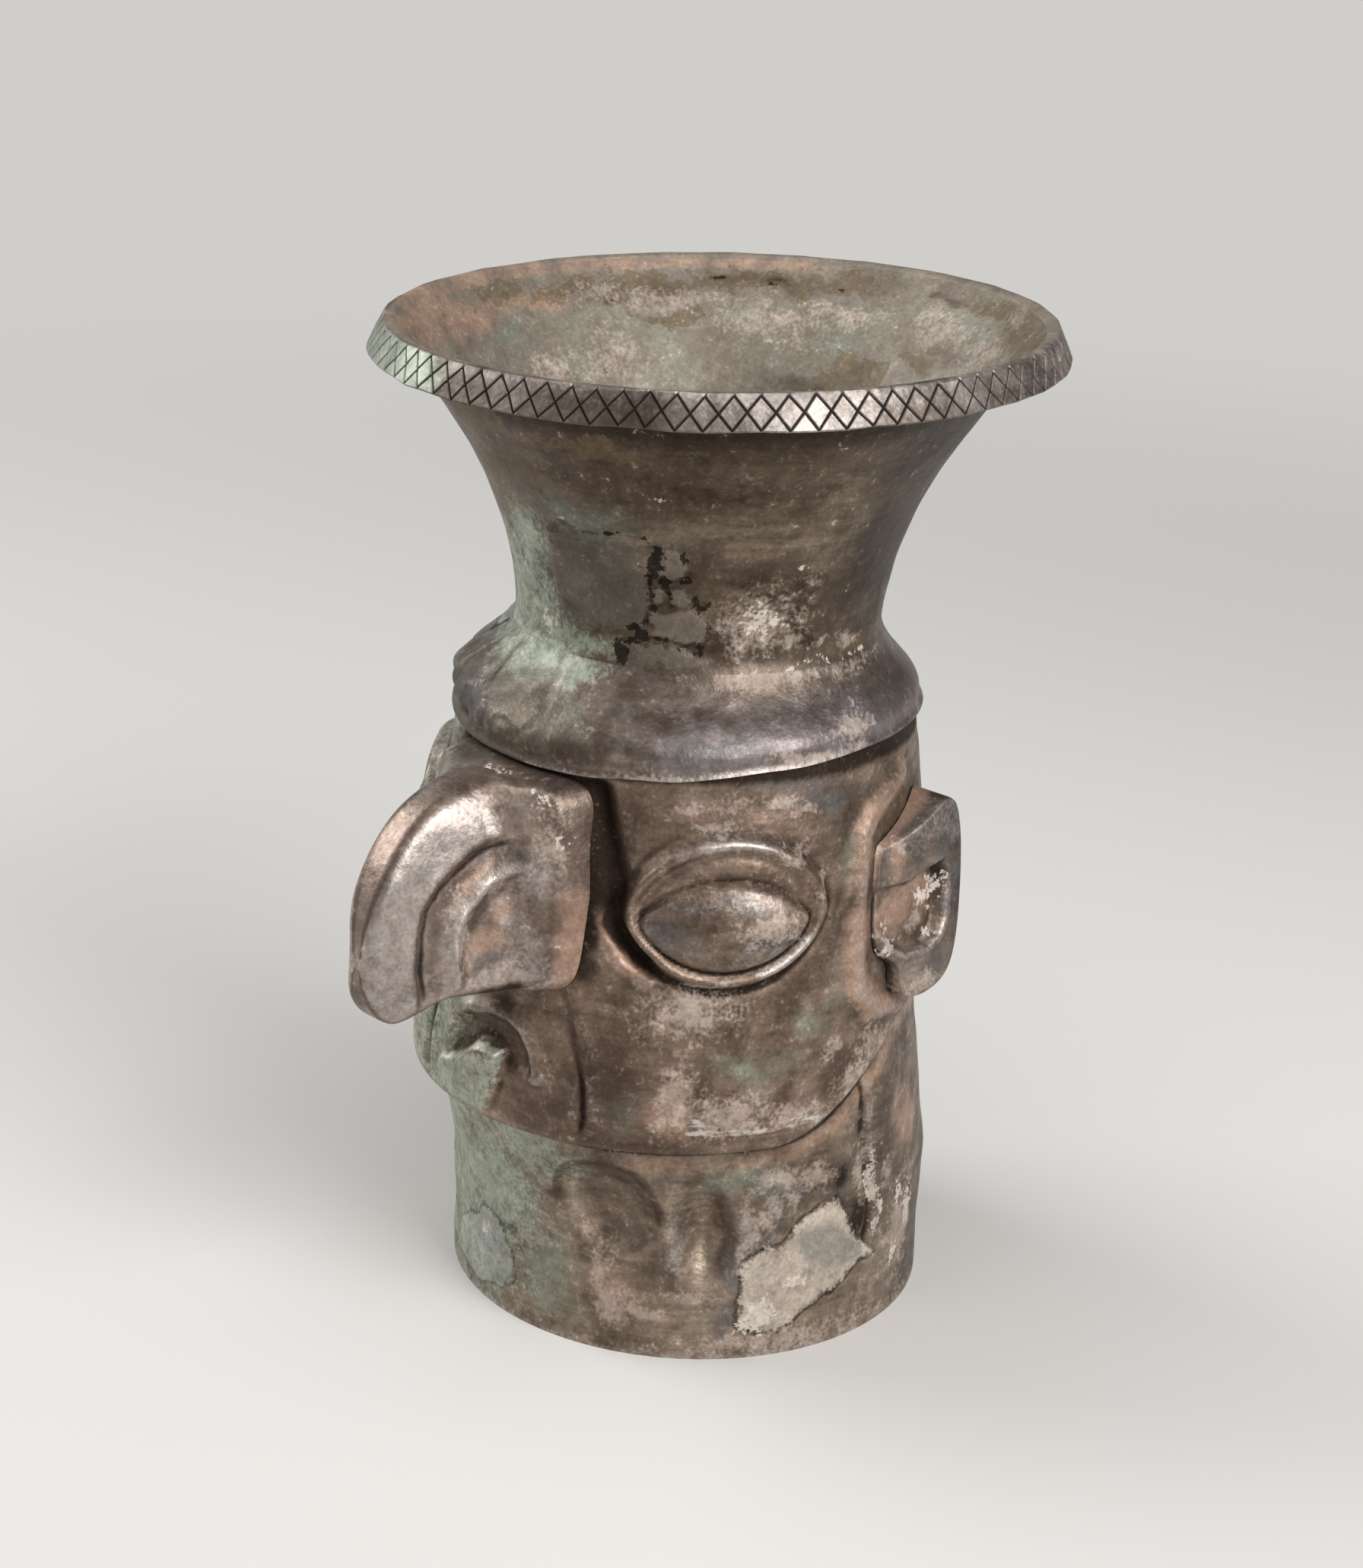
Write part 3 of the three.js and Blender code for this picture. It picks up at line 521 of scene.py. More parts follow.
face_angle = np.interp(
    np.linspace(-1, 1, FACE_TURNS, endpoint=False), [-1, -FEATURES_SHARE, FEATURES_SHARE, 1],
    [-180, -FEATURES_END, FEATURES_END, 180])
edge = jaw_edge(face_angle)
z = edge + HEM + np.linspace(0, 1, FACE_ROWS)[:, None] * (BROW_Z - HEM - edge)
angle = np.broadcast_to(face_angle, z.shape)
radius, forward = head_ring(z)
plain = on_ring(angle, radius, forward, z)
across = FACE_UNIT * angle
mirrored = np.abs(across)
loose = wandering(across, z, FACE_UNIT, plain, 60)

# Eyes: a rolled lid, a band inside it that is broad above and narrow below, and a domed ball.
u, v = mirrored - EYE_ANGLE * FACE_UNIT, z - EYE_Z
lid = almond(u, v, LID_HALF_WIDTH, LID_HALF_HEIGHT, LID_BLUNTNESS)
ball = almond(u + BALL_INWARDS, v + BALL_DROP, BALL_HALF_WIDTH,
              np.where(v > -BALL_DROP, BALL_ABOVE, BALL_BELOW), BALL_BLUNTNESS)
roll = bell(lid, 1.9, 1.6)
eyes = LID_PROUD * smooth(lid, -0.8, 2.0) + (LID_ROLL + LID_ROLL_INWARDS * smooth(-u, 4, 17)) * roll
eyes -= LID_FURROW * bell(lid, 4.6, 1.1) * smooth(v, -2, 3)
eyes += BALL_PROUD * np.sqrt(np.clip(1 - (1 - np.clip(ball, 0, BALL_ABOVE) / BALL_ABOVE) ** 2, 0, 1))
eyes -= BALL_FURROW * bell(ball, -0.3, 0.7) * (lid > 1) + LID_DITCH * bell(lid, -1.3, 1.1) * fade(v, 2, 8)
# The hollow between the nose and the eye, and the crescent below it.
socket = bell(from_line(mirrored, z, drawn([
    (24.5, 119), (26.5, 113), (29.2, 106), (32, 99.5), (31, 94), (35, 90.5), (38.6, 87.6)]))[0], 0, 3.0)
crow = bell(from_line(mirrored, z, drawn([(28.0, 96), (30.4, 90.8), (34.6, 86.6), (40, 83.4)]))[0], 0, 1.9)

# Mouth: an arched lip over a hollow, and a plate like a tongue or lower lip that stands out of it.
arch_path = drawn([
    (-10, 56.5), (-9.4, 62), (-7.6, 67), (-3, 70.4), (4, 72), (9, 72), (13, 70), (15.8, 66), (17.4, 61)])
arch = bell(from_line(across, z, arch_path)[0], 0, 2.0)
throat = inside(across, z, 1, arch_path)
plate = inside(across, z, FACE_UNIT, [
    (-19, 47), (-12, 57.4), (-6.6, 59.2), (-3, 61.2), (0.6, 64.3), (3.8, 64.8), (7.7, 64.2),
    (7.6, 61.6), (6.3, 57), (4.2, 51.8), (1.5, 47)])
standing = blurred(smooth(plate, -0.9, 0.9), 1)
mouth = ARCH_PROUD * arch - THROAT_DEPTH * smooth(throat, 0.0, 2.5) * (1 - standing)
plate_proud = lerp(PLATE_LOW_PROUD, PLATE_TOP_PROUD, smooth(z, 50, 63))
mouth += standing * plate_proud * smooth(across, -15 * FACE_UNIT, -5 * FACE_UNIT)
mouth += CORNER_PROUD * bell(np.hypot(across - CORNER_ANGLE * FACE_UNIT, z - CORNER_Z), 0, 1.5)
near_path = drawn([(22.5, 79), (25.7, 69), (27.9, 62), (28.7, 55), (28.2, 51)])
near_fold = fold(across, z, near_path)
far_path = drawn([(16, 76), (18.6, 69), (20.4, 62), (21, 55), (20.4, 51)])
far_fold = FAR_FOLD_STRENGTH * fold(-across, z, far_path)

# The welt of solder round each ear, and a crease that runs from it towards the cheek.
welt = from_line(mirrored, z, drawn([
    (110, 117), (97, 112), (92.5, 108.4), (90.8, 100), (90.3, 93.7), (90.4, 85.4), (92, 77.4),
    (97, 72.4), (110, 69.6)]))[0]
crease = np.abs(from_line(mirrored, z, drawn([(87, 97), (84, 91.7), (80.5, 85.5)]))[0])
lift = eyes - SOCKET_DEPTH * socket + SOCKET_RIM * crow + near_fold + far_fold + mouth
lift += (WELT_PROUD * bell(welt, 0, 2.3) - WELT_DITCH * bell(welt, 4.2, 1.8)
         + CREASE_PROUD * bell(crease, 0, 0.9))
blows = hammering(plain, 11, *FACE_BLOWS)
lift = lift * smooth(BROW_Z - z, 3, 6) + blows * (1 - 0.7 * smooth(lid, -1, 2)) * smooth(BROW_Z - z, 4, 8)
lift *= smooth(z - edge, 0.3, 3.5)

deep = np.maximum(hollows(lift, 4, 0.7), 0.8 * hollows(lift, 10, 1.6))
proud = -hollows(lift, 4, 0.6)
thinnest = np.minimum.reduce([np.roll(lift, (i, j), (0, 1)) for i in range(-2, 3) for j in range(-2, 3)])
within = np.arange(FACE_ROWS - 1, 1, -FACE_INNER_STEP)
hem_low = hem_radius(face_angle, edge)
jaw_radius, jaw_forward = head_ring(edge)
lap_z = np.array([BROW_Z + LAP / 2, BROW_Z + LAP, BROW_Z + LAP])
lap_radius, lap_forward = head_ring(lap_z)
lap_radius[2] -= SHEET
face_rows = [
    on_ring(face_angle, hem_low, jaw_forward, edge),
    on_ring(face_angle, lerp(hem_low, jaw_radius, 0.6), jaw_forward, edge),
    on_ring(face_angle, jaw_radius - 0.75, jaw_forward, edge + 0.05),
    on_ring(face_angle, jaw_radius - 0.2, jaw_forward, edge + 0.35),
    *on_ring(angle, radius + lift, forward, z),
    *[on_ring(face_angle, *lap) for lap in zip(lap_radius, lap_forward, lap_z)],
    *on_ring(angle, radius + thinnest - SHEET, forward, z)[within],
    on_ring(face_angle, hem_low, jaw_forward, edge + HEM),
]
nose_side = bell(mirrored, 25 * FACE_UNIT, 2.4) * smooth(z, 72, 80) * fade(z, 98, 112)
on_ball = smooth(ball, -0.5, 1.5)
plate_edge = bell(plate, 0.4, 0.45) * smooth(z, 56, 60) * (across < 8.2 * FACE_UNIT)
shaded_to = (35 - 0.45 * (z - 104)) * FACE_UNIT
shade = fade(mirrored - shaded_to, -3.5, 3.5) * smooth(z, 91, 98) * fade(lid, -1.5, 0)
beside_nose = fade(loose[0] * np.sign(across), 25 * FACE_UNIT, 31 * FACE_UNIT) * smooth(z, 78, 85)
shade = np.maximum(shade, beside_nose * fade(z, 96, 104))
face_masks = {
    "green": most(
        spots(*loose, [
            (68, 67, 11, 6), (80, 74, 6, 5), (-6, 56, 9, 7), (88, 105, 4, 8), (84, 116, 6, 3),
            (36, 57, 4, 6), (-60, 70, 16, 10), (160, 90, 20, 20)]) - 0.32,
        0.5 * fade(angle, -14, 8) * smooth(angle, -100, -60)),
    # Pale bloom on the figure's right and on the mouth plate, and a painted highlight along the plate's top
    # edge.
    "bloom_and_highlight": most(
        0.56 * fade(angle, -16, 6) * smooth(angle, -100, -60),
        0.8 * standing * fade(z, 60, 66), 1.3 * plate_edge,
        spots(*loose, [(-8, 55, 8, 6)]) - 0.25),
    # Brown tarnish spots and a dark line along the near fold; painted shade in the socket, beside the nose
    # and in dark lines round the lid.
    "umber_and_shade": most(
        spots(*loose, [
            (34, 116, 5, 4), (34, 64, 5, 11), (40, 84, 5, 3), (88, 112, 4, 5), (18, 54, 8, 6),
            (86, 62, 4, 5), (54, 62, 2, 5), (72, 61, 2, 5), (-40, 110, 14, 8), (-150, 80, 16, 14)]) - 0.06,
        socket, shade, 0.5 * bell(lid, 5.2, 1.2) * smooth(v, -3, 2),
        0.5 * bell(lid, -0.8, 0.9),
        0.9 * bell(from_line(across, z, near_path)[0], 0.5, 1.0)) * (1 - standing),
    "copper": most(
        0.85 * bell(welt, 0, 3.0) * smooth(loose[1], 66, 74), 0.3 * nose_side, 0.8 * crow,
        spots(*loose, [(47, 58, 3, 7)]) - 0.15),
    "slate": most(
        spots(*loose, [
            (58, 101.5, 3, 1.2), (50, 99.5, 2.4, 1.2), (62, 99, 2, 1.4), (44, 95, 3, 3), (66, 92, 5, 3),
            (80, 118, 6, 3), (70, 121, 6, 2)]),
        0.42 * on_ball * smooth(-u, -6, 8)),
    # Bare silver on raised places, more on the figure's left; painted highlights on the lids' rolls, on the
    # balls and along the mouth plate's top edge.
    "wear_and_highlight": most(
        np.clip(0.55 * proud, 0, 0.75) * (0.45 + 0.55 * smooth(angle, 20, 50)) * fade(lid, -2, 1),
        0.9 * roll * np.maximum(smooth(v, 6, 10) * bell(u, 0, 11), smooth(-v, 3, 7) * smooth(u, 2, 9)),
        0.4 * plate_edge,
        0.3 * on_ball * smooth(u, -6, 8) + 0.2 * on_ball * bell(v, 3, 2.4)),
    # Painted highlights: bright streaks along the jaw's hem.
    "glint": 0.66 * spots(*loose, [
        (53.6, 55.3, 3, 0.8), (60, 55.6, 4, 1.2), (66, 54, 5, 1.2), (74, 53.6, 6, 1.2), (82, 52.6, 5, 1.0),
        (91.6, 54.1, 4, 1.2), (102.4, 58.9, 4, 1.2)]) - 0.1,
    # Dirt and painted shade in the hollows; painted shade under the brow's lap, in the socket and beside
    # the nose.
    "soil_and_shade": np.clip(most(
        0.75 * deep * (1 - 0.5 * smooth(lid, -3, 0) * smooth(v, -3, 3)), 0.8 * smooth(z, 119.5, 122.5),
        0.9 * smooth(socket, 0.3, 0.9), 0.72 * shade), 0, 1) * (1 - 0.4 * smooth(throat, -3, 0)),
    "chalk": spots(*loose, [
        (57, 117, 4, 0.8), (52, 114, 4, 0.7), (46, 117.6, 3, 0.8),
        (50, 77.5, 7, 4), (60, 57, 6, 3), (76, 55, 6, 1.6), (98.6, 64, 5, 4), (70, 116.6, 3.4, 1),
        (75, 115.6, 2.4, 1), (48, 61, 2.6, 5), (92, 58, 4, 2), (71, 108.6, 3, 0.8), (78, 102, 1.6, 2.4),
        (66, 95, 4, 3), (53, 84, 3, 1), (84, 68, 1.6, 2.4), (-52, 76, 6, 4), (-120, 80, 8, 7),
        (170, 100, 7, 5)]),
}
for mask, value in face_masks.items():
    face_masks[mask] = [value[0]] * 4 + [*value] + [value[-1]] * 3 + [*value[within]] + [value[0]]
# Raised silver: a warm brown metal, half dull, dark with dirt and painted shade in each hollow, and paler
# with wear and painted highlights on what stands out.
# Glint: painted highlights as bright streaks along the jaw, where the silver is also rubbed bare.
GLINT = dict(mask="glint", colours=("#b9b0a8", "#e0d9d2"), metal=0.9, rough=0.32,
             grain="streak", ragged=0.9, soft=0.14, share=0.9)
raised_silver = tarnished_silver(
    "raised_silver_face", ["#5d4d42", "#716053", "#826f62", "#907d70"],
    [VERDIGRIS, BLOOM_AND_HIGHLIGHT, UMBER_AND_SHADE, COPPER, SLATE, WEAR_AND_HIGHLIGHT, SOIL_AND_SHADE, CHALK, GLINT])
face_sheet = sheet_piece("face_sheet", face_rows, "loop", raised_silver, face_masks, crease=60)
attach(face_sheet, "root")
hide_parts("face_shell")

# Nose cap: a hooked, hollow cap with a broad rounded ridge and sunk, ridged sides.
# It is raised from one sheet of silver and soldered on by the upright edge round its root.

NOSE_ROOT_HALF, NOSE_TIP_HALF, NOSE_RIDGE_HALF = 19.5, 4.6, 7
NOSE_BROADER = 0.08  # how much the root widens towards the nostrils
NOSE_PROUD, NOSE_REACH = 3.5, 89.3
NOSE_TOP_Z, NOSE_HOOK_Z, NOSE_UNDER_Z, NOSE_FRONT_Z = 120, 75.3, 78.8, 87.3
NOSE_MIDDLE_Z = 99.4
# Shares of the nose's length: where the root has narrowed to the ridge, where the hook bends down,
# where the underside has narrowed to the tip, and where the tip rounds off from the sides and below.
NOSE_ROOT_ENDS, NOSE_HOOK_FROM, NOSE_HOOK_TO, NOSE_TAPER_ENDS = 0.3, 0.5, 0.83, 0.893
NOSE_TIP_FROM, NOSE_TIP_LENGTH, NOSE_POINT_FROM, NOSE_POINT_LENGTH = 0.88, 0.12, 0.8, 0.2
NOSE_ROOT_BLUNTNESS, NOSE_BLUNTNESS, NOSE_TIP_BLUNTNESS, NOSE_ARCH_POWER = 0.28, 0.4, 0.8, 2.6
NOSE_GROOVE_DEPTH, NOSE_INNER_RIDGE = 1.5, 1.6
NOSE_FRONT_BLOW, NOSE_TOP_BLOW = (0.35, 9), (0.3, 12)
NOSE_TURNS, NOSE_ROWS, NOSE_FINE_TURNS = 180, 100, 1600
# The root's edge: how far each of its rows has risen from the head, and how wide it still is.
NOSE_EDGE = (0.0, 1.0), (0.12, 0.995), (0.45, 0.965), (0.8, 0.93), (1.0, 0.908)
NOSE_EDGE_ENDS = 2  # the section that follows the edge


def head_front(x, z):
    ring, ahead = head_ring(z)
    return ahead + np.sqrt(ring ** 2 - x ** 2)


def squared(v, bluntness):
    """Turns a circle's sine or cosine into that of a rounded square, squarer the blunter."""
    return np.sign(v) * np.abs(v) ** bluntness


def nose_section(t):
    """One section of the nose, evenly stepped: sideways, forward reach, height, and how far it
    is out to the side."""
    turn = np.linspace(0, 2 * np.pi, NOSE_FINE_TURNS, endpoint=False)
    bluntness = lerp(NOSE_ROOT_BLUNTNESS, NOSE_BLUNTNESS, smooth(t, 0.02, 0.14))
    rise = (1 + squared(np.sin(turn), bluntness)) / 2
    blunt = math.sqrt(1 - NOSE_TIP_BLUNTNESS * max(0, (t - NOSE_TIP_FROM) / NOSE_TIP_LENGTH) ** 2)
    low = lerp(NOSE_ROOT_HALF, NOSE_TIP_HALF, min(1, t / NOSE_TAPER_ENDS)) * blunt
    ridge = lerp(NOSE_RIDGE_HALF, NOSE_TIP_HALF, t) * blunt
    high = lerp(ridge, NOSE_ROOT_HALF, (1 - min(1, t / NOSE_ROOT_ENDS)) ** 2)
    summit = lerp(NOSE_TOP_Z, NOSE_FRONT_Z + 2, 1 - math.sqrt(max(0, 1 - t ** NOSE_ARCH_POWER)))
    hook = lerp(NOSE_UNDER_Z, NOSE_HOOK_Z, smooth(t, NOSE_HOOK_FROM, NOSE_HOOK_TO))
    pointed = max(0, (t - NOSE_POINT_FROM) / NOSE_POINT_LENGTH)
    under = lerp(hook, NOSE_FRONT_Z - 1, 1 - math.sqrt(1 - pointed ** 2))
    half = lerp(low, high, rise ** 1.5)
    x = half * squared(np.cos(turn), bluntness)
    z = lerp(under, summit, rise)
    step = np.hypot(np.diff(x, append=x[0]), np.diff(z, append=z[0]))
    run = np.append(0, np.cumsum(step))
    wanted = np.linspace(0, run[-1], NOSE_TURNS, endpoint=False)
    x, z, half = (np.interp(wanted, run, np.append(v, v[0])) for v in (x, z, half))
    root = head_front(NOSE_ROOT_HALF, NOSE_FRONT_Z) + NOSE_PROUD
    reach = np.maximum(lerp(root, NOSE_REACH, t), head_front(x, z) + SEAT_GAP + NOSE_PROUD)
    return x, reach, z, np.abs(x) / half


nose_t = 1 - (1 - np.linspace(0, 1, NOSE_ROWS)) ** 1.8
x, reach, z, sideness = (np.array(v) for v in zip(*[nose_section(t) for t in nose_t]))
t = nose_t[:, None]
groove = from_line(reach, z, [
    (50, 111), (61, 110.3), (67.8, 108.2), (72.5, 105.3), (76, 102.3), (78.9, 97.9), (80, 92.6),
    (80.3, 86.5), (79.2, 76)])[0]
inner_ridge, along_ridge = from_line(reach, z, [
    (52, 106.5), (63, 104.3), (67.7, 101.4), (71.2, 97.7), (73.5, 93.2), (74.3, 87.9), (73.6, 82.5)])
plain = np.stack([x, -reach, z], -1)
flank = smooth(sideness, 0.8, 0.97) * smooth(t, 0.08, 0.2) * fade(t, 0.88, 0.95)
lumps = hammered(plain, 5, 21)
relief = -NOSE_GROOVE_DEPTH * smooth(groove, -1.2, 1.0)
relief = relief + (NOSE_INNER_RIDGE + 0.5 * lumps) * bell(inner_ridge, 0.3, 1.5)
relief += -0.6 * smooth(inner_ridge, 1.0, 4.0) + 0.9 * smooth(inner_ridge, 5, 13) + 0.3 * lumps
x = x + np.sign(x) * relief * flank
front = hammering(plain, 22, NOSE_FRONT_BLOW) * smooth(t, 0.1, 0.3)
summit = hammering(plain, 23, NOSE_TOP_BLOW) * smooth(t, 0.1, 0.3) * fade(sideness, 0.8, 1.0)
reach = reach + front
z = z - 0.5 * front + summit
broader = 1 + NOSE_BROADER * fade(z, 97, 111) * fade(t, 0.03, 0.16)
seat = head_front(x * broader, z) + SEAT_GAP
nose_rows = []
for rise, spread in NOSE_EDGE:
    nose_rows.append(np.stack([
        x[0] * broader[0] * spread, -lerp(seat[0], reach[0], rise),
        lerp(NOSE_MIDDLE_Z, z[0], lerp(1, spread, 0.3))], -1))
for i in range(NOSE_EDGE_ENDS, NOSE_ROWS - 1):
    spread = lerp(0.9, 1.0, smooth(nose_t[i], 0.03, 0.14))
    nose_rows.append(np.stack([
        x[i] * broader[i] * spread, -reach[i], lerp(NOSE_MIDDLE_Z, z[i], lerp(1, spread, 0.3))], -1))
nose_points = np.array(nose_rows)


def from_root(value):
    """Values of the sections, with those of the root's edge in front of them."""
    sections = value[NOSE_EDGE_ENDS:-1]
    return np.concatenate([np.repeat(sections[:1], len(NOSE_EDGE), 0), sections])


nose_x, nose_z = nose_points[..., 0], nose_points[..., 2]
nose_out = -nose_points[..., 1]
loose = wandering(nose_out, nose_z, 1, nose_points, 70)
root_edge = fade(np.arange(len(nose_rows)), 2, 7)[:, None] + 0 * nose_z
nose_masks = {
    "green": 0.62 * smooth(-nose_x, -1, 6),
    # Painted shade along the root's upper edge, and brown in the grooves and on the ridge's bevel.
    "umber_and_shade": most(
        0.55 * root_edge * smooth(nose_z, 102, 112),
        from_root(0.7 * bell(groove, 3.0, 1.8) * flank),
        from_root(0.8 * bell(sideness, 0.55, 0.22) * smooth(t, 0.35, 0.55)),
        spots(*loose, [(66, 94, 3, 4), (64, 107, 3, 1.4), (87, 82, 2, 3)])),
    "copper": most(
        spots(*loose, [(68, 90, 6, 4), (64, 83, 9, 2), (70, 99, 2, 4), (62, 97, 2, 4)]) - 0.24,
        1.1 * root_edge * fade(loose[1], 94, 104)),
    "slate": spots(*loose, [
        (75, 110, 4, 2), (81, 88, 2, 3), (83, 82, 2, 2), (68, 108, 4, 1.4), (66, 87, 2, 1.6),
        (71, 85, 2, 1.4), (78, 106, 3, 2)]),
    "chalk": 0.85 * spots(*loose, [
        (56, 116, 1.6, 2.4), (57, 108, 1.2, 4), (68, 101, 4, 1.2), (72, 92, 2, 5), (66, 84, 6, 1)]),
    "fleck": 0.8 * spots(*loose, [(56.5, 117.5, 1.4, 1), (56, 110, 0.8, 1.5)]),
    # Worn silver on the inner ridge and the root's lower corner, and a painted reflection down the outer
    # band beside the groove.
    "wear_and_highlight": most(
        from_root(0.9 * bell(inner_ridge, 0.1, 1.0) * smooth(sideness, 0.8, 0.97) * smooth(t, 0.04, 0.1)),
        from_root(0.82 * smooth(-groove, 0.3, 2) * smooth(sideness, 0.62, 0.85) * smooth(t, 0.15, 0.3)),
        0.8 * spots(*loose, [
            (66, 83, 9, 1.6), (60.5, 84, 2.6, 5), (60.5, 92, 1.6, 5), (61, 104, 2.4, 4)])),
    # Dark in the groove and under the inner ridge, and a painted shadow along the nose's under-edge.
    "soil_and_shade": most(
        from_root(flank * (
            0.8 * bell(groove, 1.0, 0.7) + 0.5 * bell(inner_ridge, 3.4, 1.4) * (along_ridge < 0.7))),
        0.9 * fade(loose[1], 80.0, 82.6) * smooth(nose_out, 59, 62) * fade(nose_out, 69, 77)),
}
# Worn silver: the palest and smoothest of the pieces, bare and with painted highlights on the ridges, brown
# and with painted shade between them.
worn_silver = tarnished_silver(
    "worn_silver_nose", ["#6b5b52", "#827167", "#948479", "#a1948a"],
    [VERDIGRIS, UMBER_AND_SHADE, COPPER, SLATE, CHALK, WEAR_AND_HIGHLIGHT, FLECK, SOIL_AND_SHADE], streaks=0.05, dull=0.48, bright=0.34)
nose_cap = sheet_piece("nose_cap", nose_rows, "poles", worn_silver, nose_masks, crease=60)
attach(nose_cap, "root")
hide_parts("nose")

# Ears: wedge-shaped caps that stand out further at the back, each with a sunk panel open to the front.
# They are folded from silver sheet and soldered to the head inside a coppery welt.

EAR_ANGLE, EAR_Z = 109, 92.5
EAR_HALF_WIDTH = 9.5
EAR_SLANT = 0.12
EAR_FRONT_DEPTH, EAR_BACK_DEPTH, EAR_LEAST_DEPTH = 1.3, 8.8, 0.9
PANEL_FRONT_DEPTH, PANEL_BACK_DEPTH = 0.6, 4.4
PANEL_FRONT, PANEL_LENGTH = -9, 15
SKIRT_FORWARD, SKIRT_UP = 0.8, 1.4  # how far the foot of the ear's side spreads
EAR_TURNS, EAR_RINGS = 200, 44
# The ear's side: how wide each of its rings is, and how far it has risen from the head.
EAR_SIDE = [(1, 0.0), (1, 0.35), (1, 0.7), (1, 0.9), (0.99, 0.98)]

ear_outline = np.array([
    (-11.2, 11.6), (-11.4, 3.0), (-10.6, -5.5), (-8.4, -9.6), (-5.2, -11.4), (-4.6, -15.5),
    (-3.4, -18.4), (-0.6, -19.2), (4.2, -18.2), (7.4, -15.6), (8.8, -10.0), (9.3, 0.0), (9.3, 8.0),
    (8.8, 13.4), (7.4, 17.2), (4.6, 18.2), (2.0, 16.6), (-4.0, 13.8), (-9.0, 12.0)])


def even_outline(corners, count):
    """A closed outline with rounded corners, evenly stepped."""
    path = corners
    for _ in range(3):
        after = np.roll(path, -1, 0)
        path = np.stack([lerp(path, after, 0.25), lerp(path, after, 0.75)], 1).reshape(-1, 2)
    run = np.append(0, np.cumsum(np.hypot(*(np.roll(path, -1, 0) - path).T)))
    wanted = np.linspace(0, run[-1], count, endpoint=False)
    return np.stack([np.interp(wanted, run, np.append(path[:, k], path[0, k])) for k in (0, 1)], 1)


def ear_height(x, up):
    """Height of the ear's face over the head, a wedge with a sunk panel, and how far inside
    the panel a point is."""
    back = np.clip((x / EAR_HALF_WIDTH + 1) / 2, -0.2, 1)
    wedge = np.maximum(lerp(EAR_FRONT_DEPTH, EAR_BACK_DEPTH, back), EAR_LEAST_DEPTH)
    panel = inside(x, up, 1, [
        (-18, 4.2), (-4, 4.6), (0.5, 6.0), (4.8, 6.6), (5.2, 3.0), (5.2, -5.0), (4.0, -8.0), (1.4, -9.6),
        (-4.0, -9.6), (-7.4, -7.6), (-9.4, -4.5), (-18, -4.0)])
    panel_share = np.clip((x - PANEL_FRONT) / PANEL_LENGTH, 0, 1)
    floor = np.minimum(wedge, lerp(PANEL_FRONT_DEPTH, PANEL_BACK_DEPTH, panel_share))
    return lerp(wedge, floor, smooth(panel, -0.3, 1.0)), panel


# Folded silver: grey-brown metal, with painted shadow in the panel's corner and round the cap's foot, and
# coppery along its solder.
tarnished_ear = tarnished_silver(
    "folded_silver_ear", ["#62554c", "#7b6c61", "#908277", "#a09388"],
    [UMBER_AND_SHADE, SLATE, COPPER, SOIL_AND_SHADE, CHALK, FLECK, WEAR_AND_HIGHLIGHT])
for side, ear_node in ((1, "left_ear"), (-1, "right_ear")):
    outline = even_outline(ear_outline, EAR_TURNS)[::-side]
    middle = np.array([0.5, 0.0])
    rows, flat = [], []
    for share, rising in EAR_SIDE + [(share, 1.0) for share in np.linspace(0.965, 0.03, EAR_RINGS)]:
        x, up = (middle + (outline - middle) * share).T
        height, panel = ear_height(x, up)
        flat.append((x, up, panel, 0 * x + rising))
        skirt = 1 - rising
        x = x - SKIRT_FORWARD * skirt * smooth(-x, 4, 9)
        up = up + SKIRT_UP * skirt * smooth(up, 7, 14)
        z = EAR_Z + up
        ring, ahead = head_ring(z)
        turn = EAR_ANGLE + np.degrees((x + EAR_SLANT * up) / ring)
        rows.append(on_ring(side * turn, ring + SEAT_GAP + height * rising, ahead, z))
    x, up, panel, rising = (np.array(v) for v in zip(*flat))
    loose = wandering(x, up, 1, np.array(rows), 81)
    ear_masks = {
        "umber_and_shade": spots(*loose, [(6, 13, 3, 4), (9, 0, 1.5, 14), (3, 4, 2.6, 2), (4, 1, 1.4, 5)]),
        "slate": most(
            spots(*loose, [(3, 11, 5, 4), (4, -14, 4, 4), (7, 3, 2, 10)]), 0.45 * (panel < -0.6)),
        "copper": most(
            spots(*loose, [(-4, -2, 6, 5), (-7, 9, 2, 3), (0, -2, 3, 5)]),
            0.9 * fade(rising, 0.3, 0.9) * smooth(up, 2, 8)),
        # Painted shadow under the panel's top edge and round the lower foot of the cap.
        "soil_and_shade": most(
            0.85 * bell(panel, 0.8, 0.9) * smooth(x, -9, -2) * smooth(up, -9, 3),
            0.75 * fade(rising, 0.2, 0.8) * fade(up, 2, 8)),
        "chalk": spots(*loose, [(0, -17, 4, 1.4), (-6, 10, 1.2, 1.4), (-1, -5, 1.6, 1.2)]),
        "fleck": 0.8 * spots(*loose, [
            (3, 0.5, 1.3, 4), (1, -1, 1.6, 2), (2, -8.2, 1.4, 0.8), (-8, -6, 1, 3)]),
        # Painted highlights along the panel's rim and the cap's top edge.
        "wear_and_highlight": most(
            0.8 * bell(panel, -0.5, 0.6) * fade(up, 0, 6),
            0.55 * bell(rising, 0.98, 0.05) * smooth(up, 8, 13)),
    }
    ear_cap = sheet_piece(f"{ear_node}_cap", rows, "poles", tarnished_ear, ear_masks, crease=48)
    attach(ear_cap, "root")
    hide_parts(ear_node)

# Shoulder collar: a ring of silver sheet drawn in from the brow to the waist, lapped over the head.
# Its lower edge is thick, with a painted highlight along it on the figure's left front; on the figure's
# right it is lumpy and green.

